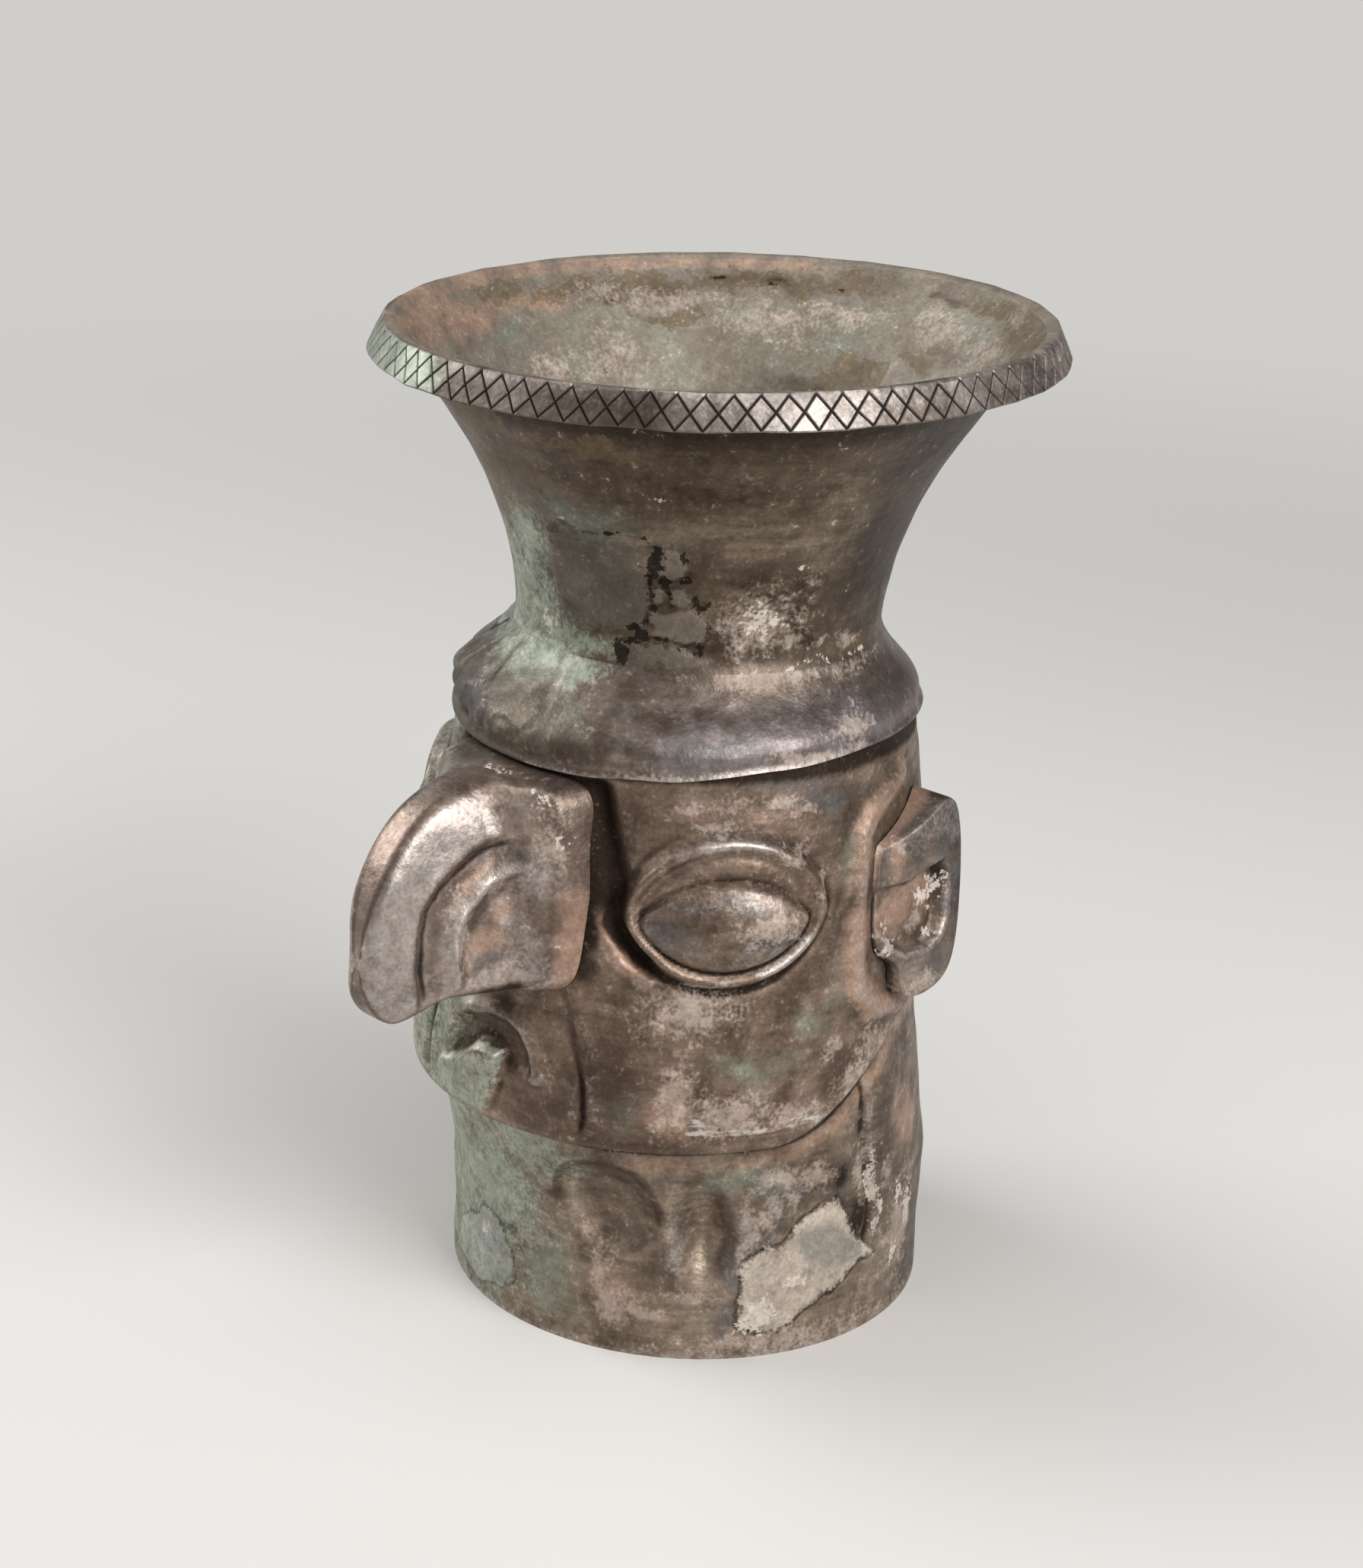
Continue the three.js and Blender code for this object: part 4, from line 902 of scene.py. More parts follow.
SEAM_Z = BROW_Z + 15.2
BROW_DIP, BROW_WAVE = 2.4, 1.0
COLLAR_MEAN_RADIUS = 42
COLLAR_BLOWS = (0.4, 17), (0.15, 6)
COLLAR_LUMPS = (1.5, 11), (0.7, 4.5)
COLLAR_EDGE_WAVER, COLLAR_EDGE_RING = (0.4, 11), (46.0, 6.5, 124.0)
COLLAR_SWELL, COLLAR_BULGE = 0.9, 1.8
COLLAR_CREASE_DEPTH, COLLAR_CREASE_SIZE = 0.6, 7
COLLAR_LIP, COLLAR_LIP_LOST = 0.4, 0.25  # how far the edge stands out, and how much less among the lumps
COLLAR_TURNS, COLLAR_ROWS, COLLAR_INNER_STEP = 340, 38, 3


def brow_edge(angle):
    turn = np.radians(angle)
    return BROW_Z - BROW_DIP * np.cos(turn) - BROW_WAVE * np.cos(2 * turn)


collar_angle = np.linspace(-180, 180, COLLAR_TURNS, endpoint=False)
low = brow_edge(collar_angle)
low = low + hammering(on_ring(collar_angle, *COLLAR_EDGE_RING), 31, COLLAR_EDGE_WAVER)
share = np.linspace(0, 1, COLLAR_ROWS)[:, None]
z = low + share * (SEAM_Z - low)
angle = np.broadcast_to(collar_angle, z.shape)
radius, forward = shoulder_ring(z)
under_radius, under_forward = head_ring(np.minimum(z, BROW_Z))
radius = np.where(z < BROW_Z, under_radius + SHEET + LAP_GAP, radius)
forward = np.where(z < BROW_Z, under_forward, forward)
plain = on_ring(angle, radius, forward, z)
unit = math.radians(COLLAR_MEAN_RADIUS)
across = unit * angle
loose = wandering(across, z, unit, plain, 90)
lumpy = smooth(-angle, -22, 20) * fade(-angle, 80, 125)
lift = hammering(plain, 32, *COLLAR_BLOWS) + COLLAR_SWELL * bell(share, 0.33, 0.25)
lift += lumpy * hammering(plain, 34, *COLLAR_LUMPS)
lift -= COLLAR_CREASE_DEPTH * lumpy * bell(
    hammered(plain * [1, 1, 0.6], COLLAR_CREASE_SIZE, 36), 0, 0.13)
lift += COLLAR_BULGE * bell(angle, -47, 17) * bell(share, 0.5, 0.28)
lift = lift * smooth(z - low, 0.3, 3.5) * smooth(SEAM_Z - z, 0.0, 2.5)
lip = (COLLAR_LIP - COLLAR_LIP_LOST * lumpy) * bell(z - low, 0, 0.7)
outer = on_ring(angle, radius + lift + lip, forward, z)
under_lip = on_ring(collar_angle, radius[0] + 0.2, forward[0], low - 0.2)
some = slice(None, None, COLLAR_INNER_STEP)
within = on_ring(angle[some], radius[some] + np.minimum(lift, 0)[some] - SHEET, forward[some], z[some])
collar_masks = {
    # Mauve film, laid broadest on the lower shoulder of the figure's left front, where it is also a painted
    # highlight.
    "violet": most(
        spots(*loose, [(66, 129, 18, 6), (96, 131, 10, 6), (50, 127, 8, 3)]),
        0.55 * smooth(angle, 30, 60) * fade(angle, 110, 140)) * (1 - 0.8 * smooth(z, 131, 138)),
    "green": most(
        0.95 * smooth(-angle, -26, 6) * fade(-angle, 80, 130),
        spots(*loose, [(8, 130, 8, 6), (-170, 130, 14, 6)]) - 0.15),
    # Pale green-white patches on the green side, painted as highlights on its bumps.
    "bloom_and_highlight": 1.1 * spots(*loose, [
        (-6, 138, 6, 2), (6, 136, 3, 1.6), (9, 138.6, 6, 1.6), (-30, 136, 5, 2), (-52, 132, 4, 5),
        (-12, 133, 3, 1)]),
    "umber_and_shade": most(
        0.8 * smooth(-angle, -24, 0) * fade(-angle, 80, 130) * (1 - 0.7 * smooth(z, 132, 137)),
        spots(*loose, [
            (38, 131, 4, 1.6), (24, 127, 2, 4), (50, 133, 3, 1.2), (-30, 132, 4, 4), (14, 126, 3, 4),
            (-14, 130, 5, 3), (28, 136, 3, 2), (120, 134, 9, 4), (-110, 128, 10, 5)])),
    "slate": spots(*loose, [
        (53, 128, 5, 1.6), (45, 127, 3, 2), (62, 126.5, 3, 1.2), (-22, 127, 5, 4)]),
    # Dirt and painted shade in the hollows among the lumps, and darker low on the lumpy side.
    "soil_and_shade": lumpy * np.clip(most(0.8 * hollows(lift, 4, 0.6), 0.4 * fade(z, 130, 136)), 0, 0.8),
    "chalk": most(
        spots(*loose, [(38, 123, 4, 1.2), (78, 125, 8, 1.0), (88, 130, 4, 2)]),
        0.5 * smooth(angle, 40, 60) * fade(angle, 100, 130) * bell(z, SEAM_Z - 1.2, 1.6)),
    # A painted highlight along the lower edge on the figure's left front, and worn tops of the lumps.
    "wear_and_highlight": np.clip(most(
        0.85 * bell(z - low, 0.1, 0.45) * smooth(np.cos(np.radians(angle - 62)), 0.3, 0.95),
        -0.42 * hollows(lift, 4, 0.7) * lumpy), 0, 0.7),
}
collar_masks = {mask: [v[0], *v, *v[some][::-1]] for mask, v in collar_masks.items()}
# Drawn silver: smoother and cooler than the face, with a bright edge, worn and painted as a highlight.
# Violet: the thin mauve film that worn silver takes on, broadest where the shoulder has a painted
# highlight.
VIOLET = dict(mask="violet", colours=("#756c6d", "#989192"), metal=0.95, rough=0.42,
              grain="blotch", ragged=0.5, soft=0.4, share=0.7)
collar_silver = tarnished_silver(
    "drawn_silver_collar", ["#5a4d43", "#6b5e54", "#7b6e64", "#897c71"],
    [VIOLET, VERDIGRIS, BLOOM_AND_HIGHLIGHT, UMBER_AND_SHADE, SLATE, SOIL_AND_SHADE, CHALK, WEAR_AND_HIGHLIGHT], dull=0.5, bright=0.34)
collar_sheet = sheet_piece(
    "shoulder_collar_sheet", [under_lip, *outer, *within[::-1]], "loop", collar_silver, collar_masks,
    crease=50)
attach(collar_sheet, "root")
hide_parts("shoulder_collar")

# Neck: a trumpet raised from silver sheet, drawn in at the waist and flared out to the mouth.
# Its foot is soldered to the shoulder and rubbed down, and its lip carries the rim band.
# Outside it is olive brown with old fills and losses; inside it is pale, stained and spotted.

RIM_Z, LIP_RADIUS = 198.3, 64.3
RIM_FORWARD, RIM_SIDE, RIM_TILT = 1.0, -1.5, 0.02
FLARE_POWER, LEAN_POWER = 1.75, 4
NECK_BLOWS = (0.45, 22), (0.18, 7)
NECK_FILL_DRIFT = 0.45
FILL_PROUD, LOSS_DEPTH = 0.25, 0.4
NECK_TURNS, NECK_ROWS = 340, 88
TOUCHING = 0.02


def neck_ring(z):
    u = np.clip((z - WAIST_Z) / (RIM_Z - WAIST_Z), 0, 1)
    below = shoulder_ring(z)
    lip = LIP_RADIUS - SHEET - SEAT_GAP
    flare = WAIST_RADIUS + (lip - WAIST_RADIUS) * u ** FLARE_POWER
    low = z < WAIST_Z
    return (np.where(low, below[0], flare),
            np.where(low, below[1], lerp(WAIST_FORWARD, RIM_FORWARD, u ** LEAN_POWER)),
            RIM_SIDE * u ** LEAN_POWER)


def tilted(points):
    """The mouth slopes down to the figure's front right, and the neck with it nearer the rim."""
    u = np.clip((points[..., 2] - WAIST_Z) / (RIM_Z - WAIST_Z), 0, 2)
    points[..., 2] += RIM_TILT * u * u * (points[..., 0] + points[..., 1])
    return points


neck_angle = np.linspace(-180, 180, NECK_TURNS, endpoint=False)
neck_low, neck_high = SEAM_Z + TOUCHING, RIM_Z - SHEET - TOUCHING
angle, z = np.meshgrid(neck_angle, np.linspace(neck_low, neck_high, NECK_ROWS))
radius, forward, aside = neck_ring(z)
plain = on_ring(angle, radius, forward, z, aside)
unit = math.radians(WAIST_RADIUS)
across = unit * angle
loose = wandering(across, z, unit, plain, 100)
ragged = (lerp(across, loose[0], NECK_FILL_DRIFT), lerp(z, loose[1], NECK_FILL_DRIFT), unit)
# The old fill, the flakes of it that have broken up to its right, and the dark gaps between them.
fill = inside(*ragged, [
    (2, 164), (9, 166), (17, 165.6), (27, 164.6), (29.5, 161), (30, 153), (29, 147), (18, 146), (2, 145.5),
    (-2, 151), (0, 158)])
flakes = np.maximum.reduce([inside(*ragged, shape) for shape in (
    [(34, 165), (39, 164), (42.5, 160), (38, 157.8), (34, 159.6)],
    [(31.5, 160), (34.5, 160.5), (35, 158.2), (32, 157.6)],
    [(38, 156.5), (43, 156.8), (43, 152.8), (40, 151.4), (37.5, 153)],
    [(32, 156), (36, 156), (36, 152.6), (32.5, 152.4)],
    [(31, 151), (38, 151), (44, 152), (48, 149.4), (47, 145.8), (40, 144.6), (31, 145.6)],
    [(25, 143.6), (34, 144), (46, 142.6), (46, 140.4), (27, 140.4)])])
broken = inside(*ragged, [
    (30, 165), (34, 165.6), (40, 165), (44, 160), (45, 154), (49, 150), (48, 145), (44, 142.4), (38, 144),
    (30, 144.5), (24, 140.6), (20, 140.4), (20, 144), (28, 147.4), (30, 153), (29.5, 161)])
gaps = np.minimum(broken, -np.maximum(fill, flakes))
loss = np.maximum(np.clip(0.38 + gaps / 3, 0, 1), spots(*ragged, [
    (22, 142, 1.6, 1.7), (25, 147.4, 1.3, 1.0), (31, 157, 1.2, 2.2), (35, 157.6, 2.6, 0.7),
    (46, 152, 1.3, 1.6), (20, 166.6, 6, 0.3)]))
lift = hammering(plain, 41, *NECK_BLOWS)
lift *= smooth(z - neck_low, 0, 3) * smooth(neck_high - z, 3, 8)
mended = FILL_PROUD * smooth(np.maximum(fill, flakes), -0.4, 0.4) - LOSS_DEPTH * smooth(loss, 0.35, 0.65)
lift += mended * smooth(z - neck_low, 0, 0.8)
outer = tilted(on_ring(angle, radius + lift, forward, z, aside))
within = tilted(on_ring(angle, radius - SHEET + lift * smooth(neck_high - z, 3, 8), forward, z, aside))
outside = {
    "green": most(
        spots(*loose, [
            (-8, 142, 7, 7), (0, 141, 7, 4), (-24, 150, 6, 12), (12, 169, 10, 3), (-60, 160, 14, 9)]),
        0.6 * smooth(-angle, -14, 10) * fade(-angle, 90, 130) * fade(z, 158, 178)),
    "umber_and_shade": most(
        0.66 * smooth(z, 166, 186),
        spots(*loose, [
            (90, 152, 7, 9), (104, 160, 9, 12), (54, 147, 2.6, 5), (45, 160, 3, 6), (30, 178, 20, 8),
            (60, 160, 8, 3), (-10, 180, 14, 10), (-4, 173, 5, 5), (150, 160, 14, 12)])),
    # Painted shadow under the rim band, and a dark band down the figure's left side.
    "night": most(
        0.95 * smooth(z, 182, 191),
        0.62 * smooth(angle, 76, 94) * fade(angle, 130, 150) * smooth(z, 146, 154)),
    "ochre": spots(*loose, [
        (-12, 186, 6, 4), (-5, 176, 8, 3), (20, 183, 7, 2), (102, 142, 6, 2), (-18, 172, 4, 6)]),
    # Pale bloom on the green side, partly a painted highlight along the neck's foot.
    "bloom_and_highlight": spots(*loose, [
        (-13, 151, 6, 9), (0, 143, 8, 3.4), (-10, 161, 4, 5), (-22, 147, 8, 9), (12, 142.6, 6, 2),
        (-30, 140, 6, 4)]),
    "soil_and_shade": most(
        0.5 * bell(fill, -0.4, 0.45),
        0.5 * spots(*loose, [(94, 143, 3, 1.4)])),
    "fill": np.clip(0.5 + fill / lerp(12, 3, smooth(angle, 0, 20) * smooth(z, 146, 156)), 0, 1),
    "flake": np.clip(0.5 + flakes / 3, 0, 1),
    "loss": loss,
    "burnish": fade(z - neck_low, 0.5, 6.5),
    "chalk": spots(*loose, [
        (64, 149.5, 5.6, 4.4), (73, 146.5, 2.4, 1.2), (84, 143.5, 3, 0.6), (98, 143, 3, 1),
        (75, 157, 1.4, 0.8)]),
    "fleck": most(
        0.8 * spots(*loose, [
            (64, 150, 3.0, 2.4), (8, 167.5, 0.6, 0.8), (36, 176, 0.5, 0.8), (72, 160, 0.8, 0.5),
            (-6, 143, 2, 2), (-16, 155, 1, 3)]),
        0.5 * smooth(angle, 44, 52) * fade(angle, 104, 112) * bell(loose[1], neck_low + 0.5, 0.8)),
}
inside_masks = {
    "pale": 0.9 + 0 * z,
    "green": most(0.3, spots(*loose, [
        (166, 191, 9, 4), (-142, 188, 8, 3), (150, 184, 8, 4), (-84, 186, 5, 4), (-165, 184, 6, 3),
        (120, 188, 6, 5), (20, 180, 10, 10)]) - 0.26),
    "copper": most(
        spots(*loose, [(-58, 194, 9, 4), (-72, 191, 8, 3), (-45, 196, 8, 2.4), (-96, 192, 4, 2)]),
        0.6 * smooth(z, 194.8, 196.4) * fade(np.abs(angle + 100), 40, 80)),
    "ochre": spots(*loose, [
        (142, 194, 7, 4), (-174, 180, 6, 2.4), (-118, 193, 6, 2.4), (-104, 193.5, 5, 2), (128, 196, 8, 2),
        (-136, 194, 5, 2), (158, 196, 7, 1.6), (-86, 194, 5, 2), (-160, 195, 6, 2), (110, 190, 5, 5),
        (-148, 193.4, 4, 1.6), (172, 184, 6, 1.4), (-126, 187, 4, 1.2)]),
    "umber_and_shade": spots(*loose, [
        (-148, 193.4, 4, 1.2), (-138, 194.5, 5, 1), (-125, 192, 3, 1.4), (-165, 176, 9, 2),
        (140, 172, 10, 8), (176, 195, 4, 1), (-112, 190, 3, 1), (170, 187, 6, 1.2)]),
    # Darker towards the waist, deep inside the cup; a few dark spots by the rim.
    "soil_and_shade": most(
        0.8 * fade(z, 142, 170),
        0.6 * spots(*loose, [(-147, 193.4, 2.4, 0.8), (-134, 194.6, 2, 0.6)])),
    "loss": 0.8 * spots(*ragged, [
        (-147, 193.4, 0.8, 0.4), (-135, 194.6, 0.9, 0.3), (-107, 178.6, 0.7, 0.7),
        (-160, 193.6, 0.8, 0.3)]),
    "chalk": 0.74 * spots(*loose, [
        (-110, 180, 4, 4), (150, 196, 2, 1.6), (-110, 192, 3, 2), (-92, 178, 4, 3), (-148, 187, 8, 3),
        (-126, 190, 6, 1.6), (172, 190, 6, 2), (150, 189, 5, 2.4), (-166, 189, 5, 1.6)]),
}
neck_masks = {
    mask: [*outside.get(mask, 0 * z), *inside_masks.get(mask, 0 * z)[::-1]]
    for mask in {**outside, **inside_masks}}
# Pale: the thin chalky skin inside the mouth. Night: painted shadow on the upper neck under the rim band,
# and a dark band down the figure's left side. Ochre: yellow-brown soil. Burnish: the neck's foot, rubbed
# down
# into the shoulder. Fill and flake: an old, smooth grey repair. Loss: black pits where the tarnish has come
# away.
PALE = dict(mask="pale", colours=("#72675b", "#948a7d"), metal=0.4, rough=0.6,
            grain="blotch", ragged=0.3, soft=0.3, share=0.85)
NIGHT = dict(mask="night", colours=("#1d1711", "#332a20"), metal=0.85, rough=0.5,
             grain="blotch", ragged=0.3, soft=0.4, share=0.85)
OCHRE = dict(mask="ochre", colours=("#463823", "#6e5b3c"), metal=0.3, rough=0.6,
             grain="skin", ragged=0.7, soft=0.1, share=0.68)
BURNISH = dict(mask="burnish", colours=("#64574d", "#7b6e64"), metal=0.9, rough=0.46,
               grain="blotch", ragged=0.5, soft=0.45, share=0.75)
FILL = dict(mask="fill", colours=("#474138", "#625b50"), metal=0.4, rough=0.5,
            grain="skin", ragged=0.5, soft=0.08, share=0.78)
FLAKE = dict(mask="flake", colours=("#5a5148", "#7a6f63"), metal=0.4, rough=0.48,
             grain="skin", ragged=0.7, soft=0.06, share=0.85)
LOSS = dict(mask="loss", colours=("#120d0a", "#2b231c"), metal=0.85, rough=0.7,
            grain="skin", ragged=0.8, soft=0.08, share=0.92)
# Olive silver: the darkest piece, a greenish brown film with faint rings left by the burnisher.
olive_silver = tarnished_silver(
    "olive_silver_neck", ["#3c3227", "#53473a", "#66584a", "#7a6c5d"],
    [PALE, BURNISH, VERDIGRIS, BLOOM_AND_HIGHLIGHT, UMBER_AND_SHADE, NIGHT, COPPER, OCHRE, SOIL_AND_SHADE, FILL, FLAKE, LOSS, CHALK, FLECK],
    streaks=0.32)
neck_trumpet = sheet_piece("neck_trumpet", [*outer, *within[::-1]], "loop", olive_silver, neck_masks)
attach(neck_trumpet, "root")
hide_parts("neck_flare")

# Rim band: a narrow strip of silver hooked over the lip and turned in under itself.
# Its sloping face is chased by hand with crossed lines, one X beside the other all the way round.

BAND_HEIGHT, BAND_RADIUS = 6.2, 67.1
BAND_ROUNDING = 0.35
CROSSES = 84
CUT_HALF_WIDTH, CUT_DEPTH = 0.32, 0.42
CHISEL_WAVER, CHISEL_WAVER_SIZE = 1.1, 9
TOP_EDGE_POINTS, LOW_EDGE_POINTS = 4, 8  # of the strip round one X, beyond its face
BAND_CREASE = 24
band_low = RIM_Z - BAND_HEIGHT
lip_inside = float(neck_ring(np.array(neck_high))[0]) - SHEET
face_top = np.array([LIP_RADIUS + 0.1, RIM_Z - BAND_ROUNDING])
face_low = np.array([BAND_RADIUS, band_low + BAND_ROUNDING])
pitch = math.pi * (LIP_RADIUS + BAND_RADIUS) / CROSSES
slope = float(np.hypot(*(face_top - face_low)))
normal = np.array([face_top[1] - face_low[1], face_low[0] - face_top[0]]) / slope
# Half the cut's width along the strip and up it, in shares of one X's width and height.
gx = gy = CUT_HALF_WIDTH * math.hypot(pitch, slope) / slope / pitch
# One X: its four corners and its crossing lie at the bottom of the cuts, the rest on the face.
flat_points = [
    (0, 0, 1), (1, 0, 1), (1, 1, 1), (0, 1, 1), (0.5, 0.5, 1),
    (gx, 0, 0), (1 - gx, 0, 0), (0.5, 0.5 - gy, 0), (1 - gx, 1, 0), (gx, 1, 0), (0.5, 0.5 + gy, 0),
    (0, gy, 0), (0, 1 - gy, 0), (0.5 - gx, 0.5, 0), (1, gy, 0), (1, 1 - gy, 0), (0.5 + gx, 0.5, 0)]
A, B, C, D, E, B1, B2, B3, T1, T2, T3, L1, L2, L3, R1, R2, R3 = range(17)
cell_faces = [
    (B1, B2, B3), (T1, T2, T3), (L2, L1, L3), (R1, R2, R3),
    (A, B1, B3, E), (A, E, L3, L1), (B, E, B3, B2), (B, R1, R3, E),
    (E, R3, R2, C), (E, C, T1, T3), (E, T3, T2, D), (E, D, L2, L3)]
cell_points = [
    (s, *(lerp(face_low, face_top, t) - normal * CUT_DEPTH * cut)) for s, t, cut in flat_points]
# The rest of the strip: over the lip, back under itself, and out again to the face's low edge.
under_radius = float(neck_ring(np.array(band_low))[0]) + SEAT_GAP
previous = [D, T2, T1, C]
for strip_radius, strip_z in (
        (LIP_RADIUS - 0.25, RIM_Z), (lip_inside + 1.0, RIM_Z), (lip_inside + 0.5, RIM_Z - 0.26),
        (lip_inside - 0.05, RIM_Z - SHEET - 0.15), (LIP_RADIUS - SHEET / 2, RIM_Z - SHEET),
        (BAND_RADIUS - 1.6 * SHEET, band_low + SHEET), (under_radius, band_low + SHEET / 2),
        (under_radius, band_low - SHEET / 2), (BAND_RADIUS - 0.9, band_low - 0.05),
        (BAND_RADIUS - 0.2, band_low)):
    row = [len(cell_points) + k for k in range(4)]
    cell_points += [(s, strip_radius, strip_z) for s in (0, gx, 1 - gx, 1)]
    cell_faces += [(previous[k], previous[k + 1], row[k + 1], row[k]) for k in range(3)]
    previous = row
row = [A, B1, B2, B]
cell_faces += [(previous[k], previous[k + 1], row[k + 1], row[k]) for k in range(3)]
turn, reach, height = np.array(cell_points).T
turn = turn * 2 * math.pi / CROSSES
cell = bpy.data.meshes.new("rim_cross")
cell.from_pydata(np.stack([reach * np.sin(turn), -reach * np.cos(turn), height], 1) * MM, [], cell_faces)
cuts = [float(cut) for _, _, cut in flat_points] + [0.0] * (len(cell_points) - len(flat_points))
cell.attributes.new("cut", "FLOAT", "POINT").data.foreach_set("value", cuts)
# The face and its low edge wander under the chisel, its top edge half as much, and the grip not at all.
gripping = len(cell_points) - len(flat_points) - TOP_EDGE_POINTS - LOW_EDGE_POINTS
loosened = [1.0] * len(flat_points) + [0.5] * TOP_EDGE_POINTS
loosened += [0.0] * gripping + [1.0] * LOW_EDGE_POINTS
cell.attributes.new("loosened", "FLOAT", "POINT").data.foreach_set("value", loosened)
chased_band = bpy.data.objects.new("rim_band_chased", cell)
bpy.context.scene.collection.objects.link(chased_band)

# Chased silver: bright but dull metal that lights up evenly, ruled with black, with painted highlights
# across its front and top edge.
# Sheen: the greenish film on the figure's right. Cut soil: black dirt in the chased lines.
SHEEN = dict(mask="green", colours=("#6c7769", "#9aa396"), metal=0.85, rough=0.42,
             grain="blotch", ragged=0.4, soft=0.3, share=0.75)
CUT_SOIL = dict(mask="cut", colours=("#17100b", "#2c211a"), metal=0.7, rough=0.8,
                grain="grit", ragged=0.2, soft=0.3, share=0.92)
chased_silver = tarnished_silver(
    "chased_silver_band", ["#4d433b", "#655b53", "#7b716a", "#8e857e"],
    [SHEEN, UMBER_AND_SHADE, dict(WEAR_AND_HIGHLIGHT, rough=0.52), PALE, COPPER, CUT_SOIL], streaks=0.1, dull=0.54, bright=0.48)

rim_tree = bpy.data.node_groups.new("chased_rim", "GeometryNodeTree")
sockets = {}
for label, kind, io in (
        ("One cross", "NodeSocketGeometry", "INPUT"), ("Crosses", "NodeSocketInt", "INPUT"),
        ("Mouth centre", "NodeSocketVector", "INPUT"), ("Slope", "NodeSocketFloat", "INPUT"),
        ("Unevenness", "NodeSocketFloat", "INPUT"), ("Uneven scale", "NodeSocketFloat", "INPUT"),
        ("Finish", "NodeSocketMaterial", "INPUT"), ("Band", "NodeSocketGeometry", "OUTPUT")):
    sockets[label] = rim_tree.interface.new_socket(label, in_out=io, socket_type=kind).identifier
given = node(rim_tree, "NodeGroupInput").outputs
places = node(rim_tree, "GeometryNodeMeshLine", {"Count": given["Crosses"], "Offset": (0, 0, 0)}).outputs[0]
index = node(rim_tree, "GeometryNodeInputIndex").outputs[0]
share = node(rim_tree, "ShaderNodeMath", {0: index, 1: given["Crosses"]}, operation="DIVIDE").outputs[0]
angle = node(rim_tree, "ShaderNodeMath", {0: share, 1: 2 * math.pi}, operation="MULTIPLY").outputs[0]
turned = node(rim_tree, "ShaderNodeCombineXYZ", {"Z": angle}).outputs[0]
crosses = node(rim_tree, "GeometryNodeInstanceOnPoints", {
    "Points": places, "Instance": given["One cross"], "Rotation": turned}).outputs[0]
real = node(rim_tree, "GeometryNodeRealizeInstances", {"Geometry": crosses}).outputs[0]
joined = node(rim_tree, "GeometryNodeMergeByDistance", {
    "Geometry": real, "Distance": 0.01 * MM}).outputs[0]
where = node(rim_tree, "GeometryNodeInputPosition").outputs[0]
uneven = node(rim_tree, "ShaderNodeTexNoise", {
    "Vector": where, "Scale": given["Uneven scale"], "Detail": 1.0}).outputs[1]
centred = node(rim_tree, "ShaderNodeVectorMath", {
    0: uneven, 1: (0.5, 0.5, 0.5)}, operation="SUBTRACT").outputs[0]
loose_here = node(rim_tree, "GeometryNodeInputNamedAttribute", {
    "Name": "loosened"}, data_type="FLOAT").outputs[0]
leeway = node(rim_tree, "ShaderNodeMath", {
    0: loose_here, 1: given["Unevenness"]}, operation="MULTIPLY").outputs[0]
waver = node(rim_tree, "ShaderNodeVectorMath", {0: centred, "Scale": leeway}, operation="SCALE").outputs[0]
moved = node(rim_tree, "ShaderNodeVectorMath", {
    0: given["Mouth centre"], 1: waver}, operation="ADD").outputs[0]
set_out = node(rim_tree, "GeometryNodeSetPosition", {"Geometry": joined, "Offset": moved}).outputs[0]
parts = node(rim_tree, "ShaderNodeSeparateXYZ", {
    0: node(rim_tree, "GeometryNodeInputPosition").outputs[0]}).outputs
lean = node(rim_tree, "ShaderNodeMath", {0: parts["X"], 1: parts["Y"]}, operation="ADD").outputs[0]
drop = node(rim_tree, "ShaderNodeMath", {0: lean, 1: given["Slope"]}, operation="MULTIPLY").outputs[0]
downwards = node(rim_tree, "ShaderNodeCombineXYZ", {"Z": drop}).outputs[0]
sloped = node(rim_tree, "GeometryNodeSetPosition", {"Geometry": set_out, "Offset": downwards}).outputs[0]
finished = node(rim_tree, "GeometryNodeSetMaterial", {
    "Geometry": sloped, "Material": given["Finish"]}).outputs[0]
node(rim_tree, "NodeGroupOutput", {"Band": finished})

maker = chased_band.modifiers.new("chased_rim", "NODES")
maker.node_group = rim_tree
for label, value in (
        ("Crosses", CROSSES), ("Mouth centre", (RIM_SIDE * MM, -RIM_FORWARD * MM, 0)),
        ("Slope", RIM_TILT), ("Unevenness", CHISEL_WAVER * MM),
        ("Uneven scale", 1 / (CHISEL_WAVER_SIZE * MM)), ("Finish", chased_silver)):
    maker[sockets[label]] = value
made = chased_band.evaluated_get(bpy.context.evaluated_depsgraph_get())
band_mesh = bpy.data.meshes.new_from_object(made)
chased_band.modifiers.clear()
chased_band.data = band_mesh
band_mesh.shade_smooth()
band_mesh.set_sharp_from_angle(angle=math.radians(BAND_CREASE))
points = np.zeros(len(band_mesh.vertices) * 3)
band_mesh.vertices.foreach_get("co", points)
x, y, z = points.reshape(-1, 3).T / MM
angle = np.degrees(np.arctan2(x - RIM_SIDE, -y - RIM_FORWARD))
reach = np.hypot(x - RIM_SIDE, y + RIM_FORWARD)
on_top = fade(reach, LIP_RADIUS - 0.6, LIP_RADIUS + 0.3)
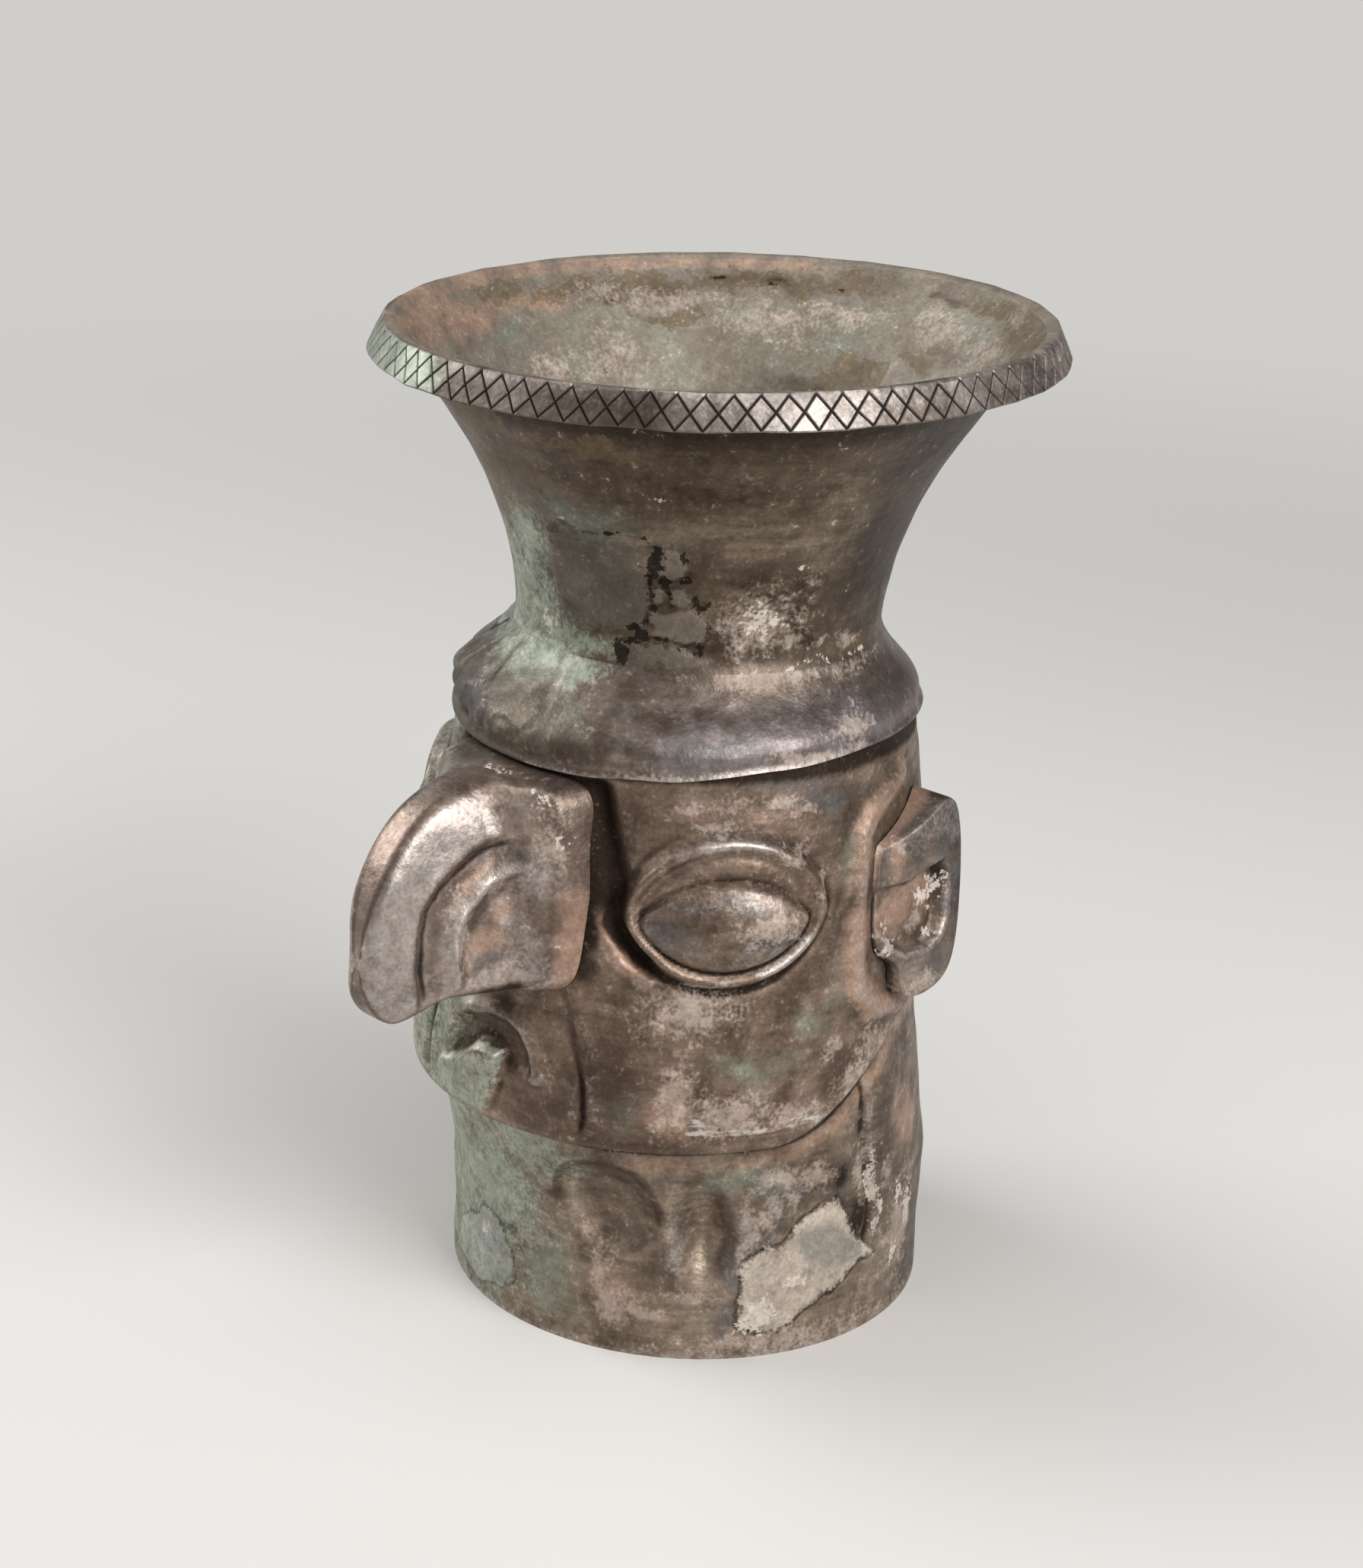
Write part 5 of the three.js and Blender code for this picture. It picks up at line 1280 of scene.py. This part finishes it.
band_masks = {
    "green": 0.95 * smooth(-angle, -8, 16) * fade(-angle, 60, 100) * (1 - on_top),
    "umber_and_shade": (1 - on_top) * (
        0.95 * bell(angle, 27, 15) + 0.6 * smooth(-angle, 60, 90) + 0.3 * smooth(angle, 120, 140)),
    # Painted highlights across the front and on the figure's left side, and along the top edge.
    "wear_and_highlight": (
        0.66 * bell(angle, 59, 14) + 0.35 * bell(angle, 106, 20)
        + 0.4 * bell(reach, LIP_RADIUS + 0.1, 0.4) * bell(angle, 45, 60)),
    "pale": on_top * (1 - 0.8 * bell(angle, 45, 60)),
    "copper": on_top * (0.25 + 0.4 * bell(angle, -70, 40)),
}
for mask, values in band_masks.items():
    band_mesh.attributes.new(mask, "FLOAT", "POINT").data.foreach_set("value", np.clip(values, 0, 1))
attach(chased_band, "root")
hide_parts("rim_band")

# Studio: a round sweep of matt paper that curves up far away, one large soft lamp on each side,
# one overhead, and a grey-white room.
# Far from the cup the paper shows its own colour, to the camera and in the metal alike.

PAPER = "#d0cecb"
PAPER_TURNS = 96
# The sweep's outline, as reach and height in metres.
PAPER_SWEEP = (
    (4.6, 0.0), (5.0, 0.0), (5.35, 0.03), (5.65, 0.12), (5.85, 0.28), (5.96, 0.5), (6.0, 0.75))
OWN_COLOUR_FROM, OWN_COLOUR_ONLY = 0.3, 1.0
paper_turn = np.linspace(0, 2 * np.pi, PAPER_TURNS, endpoint=False)
paper_points, paper_faces = [], [list(range(PAPER_TURNS))]
for reach, rise in PAPER_SWEEP:
    row = len(paper_points)
    paper_points += [(reach * math.cos(t), reach * math.sin(t), rise) for t in paper_turn]
    if row:
        paper_faces += [(row - PAPER_TURNS + k, row + k, row + (k + 1) % PAPER_TURNS,
                         row - PAPER_TURNS + (k + 1) % PAPER_TURNS) for k in range(PAPER_TURNS)]
paper_mesh = bpy.data.meshes.new("studio_paper")
paper_mesh.from_pydata(paper_points, [], paper_faces)
paper_mesh.shade_smooth()
studio_paper = bpy.data.objects.new("studio_paper", paper_mesh)
bpy.context.scene.collection.objects.link(studio_paper)
# Matt studio paper: an even pale grey without gloss, which takes the cup's soft shadow.
matt_paper = bpy.data.materials.new("matt_studio_paper")
matt_paper.use_nodes = True
tree = matt_paper.node_tree
tree.nodes.clear()
place = node(tree, "ShaderNodeTexCoord").outputs["Object"]
distance = node(tree, "ShaderNodeVectorMath", {0: place}, operation="LENGTH").outputs["Value"]
far = node(tree, "ShaderNodeMapRange", {
    "Value": distance, "From Min": OWN_COLOUR_FROM, "From Max": OWN_COLOUR_ONLY},
    interpolation_type="SMOOTHSTEP").outputs[0]
ray = node(tree, "ShaderNodeLightPath").outputs
seen = node(tree, "ShaderNodeMath", {
    0: ray["Is Camera Ray"], 1: ray["Is Glossy Ray"]}, operation="MAXIMUM").outputs[0]
seen = node(tree, "ShaderNodeMath", {
    0: seen, 1: ray["Is Transmission Ray"]}, operation="MAXIMUM").outputs[0]
shown = node(tree, "ShaderNodeMath", {0: seen, 1: far}, operation="MULTIPLY").outputs[0]
lit = node(tree, "ShaderNodeBsdfPrincipled", {"Base Color": srgb(PAPER), "Roughness": 0.85}).outputs[0]
own = node(tree, "ShaderNodeEmission", {"Color": srgb(PAPER), "Strength": 1.0}).outputs[0]
paper_surface = node(tree, "ShaderNodeMixShader", {0: shown, 1: lit, 2: own}).outputs[0]
node(tree, "ShaderNodeOutputMaterial", {"Surface": paper_surface})
paper_mesh.materials.append(matt_paper)

AIM = Vector((0, -0.01, 0.1))
# Each lamp's bearing and height in degrees, its distance and size in metres, and its watts.
for name, bearing, rise, away, size, watts in (
        ("right_softbox", 86, 32, 1.1, 0.7, 12), ("left_softbox", -62, 30, 1.2, 0.7, 10),
        ("top_softbox", 30, 78, 1.3, 0.9, 6)):
    lamp = bpy.data.lights.new(name, "AREA")
    lamp.energy = watts
    lamp.size = size
    light = bpy.data.objects.new(name, lamp)
    bearing, rise = math.radians(bearing), math.radians(rise)
    out = Vector((math.sin(bearing) * math.cos(rise), -math.cos(bearing) * math.cos(rise), math.sin(rise)))
    light.location = AIM + out * away
    light.rotation_euler = out.to_track_quat("Z", "Y").to_euler()
    bpy.context.scene.collection.objects.link(light)

ROOM, ROOM_STRENGTH = "#c9c8c6", 0.42
room = bpy.data.worlds.new("studio_room")
room.use_nodes = True
tree = room.node_tree
tree.nodes.clear()
ambient = node(tree, "ShaderNodeBackground", {"Color": srgb(ROOM), "Strength": ROOM_STRENGTH}).outputs[0]
node(tree, "ShaderNodeOutputWorld", {"Surface": ambient})
bpy.context.scene.world = room

# Camera: as the photograph was taken, from the figure's left front and from above the rim,
# and rolled slightly, so that the cup leans to the right in the picture.

SENSOR_WIDTH, LENS = 36, 72.84
CAMERA_PLACE, CAMERA_AHEAD = (0.41887, -0.42611, 0.3238), (-0.6633, 0.6633, -0.3466)
ROLL = math.radians(2.704)
camera_data = bpy.data.cameras.new("camera")
camera_data.sensor_width = SENSOR_WIDTH
camera_data.lens = LENS
camera_data.clip_start, camera_data.clip_end = 0.01, 50
camera = bpy.data.objects.new("camera", camera_data)
bpy.context.scene.collection.objects.link(camera)
ahead = Vector(CAMERA_AHEAD).normalized()
rightwards = Vector((1, 1, 0)).normalized()
upwards = rightwards.cross(ahead)
axis_x = rightwards * math.cos(ROLL) + upwards * math.sin(ROLL)
axis_y = upwards * math.cos(ROLL) - rightwards * math.sin(ROLL)
camera.matrix_world = Matrix([
    (axis_x[k], axis_y[k], -ahead[k], CAMERA_PLACE[k]) for k in range(3)] + [(0, 0, 0, 1)])
bpy.context.scene.camera = camera
bpy.context.scene.view_settings.view_transform = "Standard"
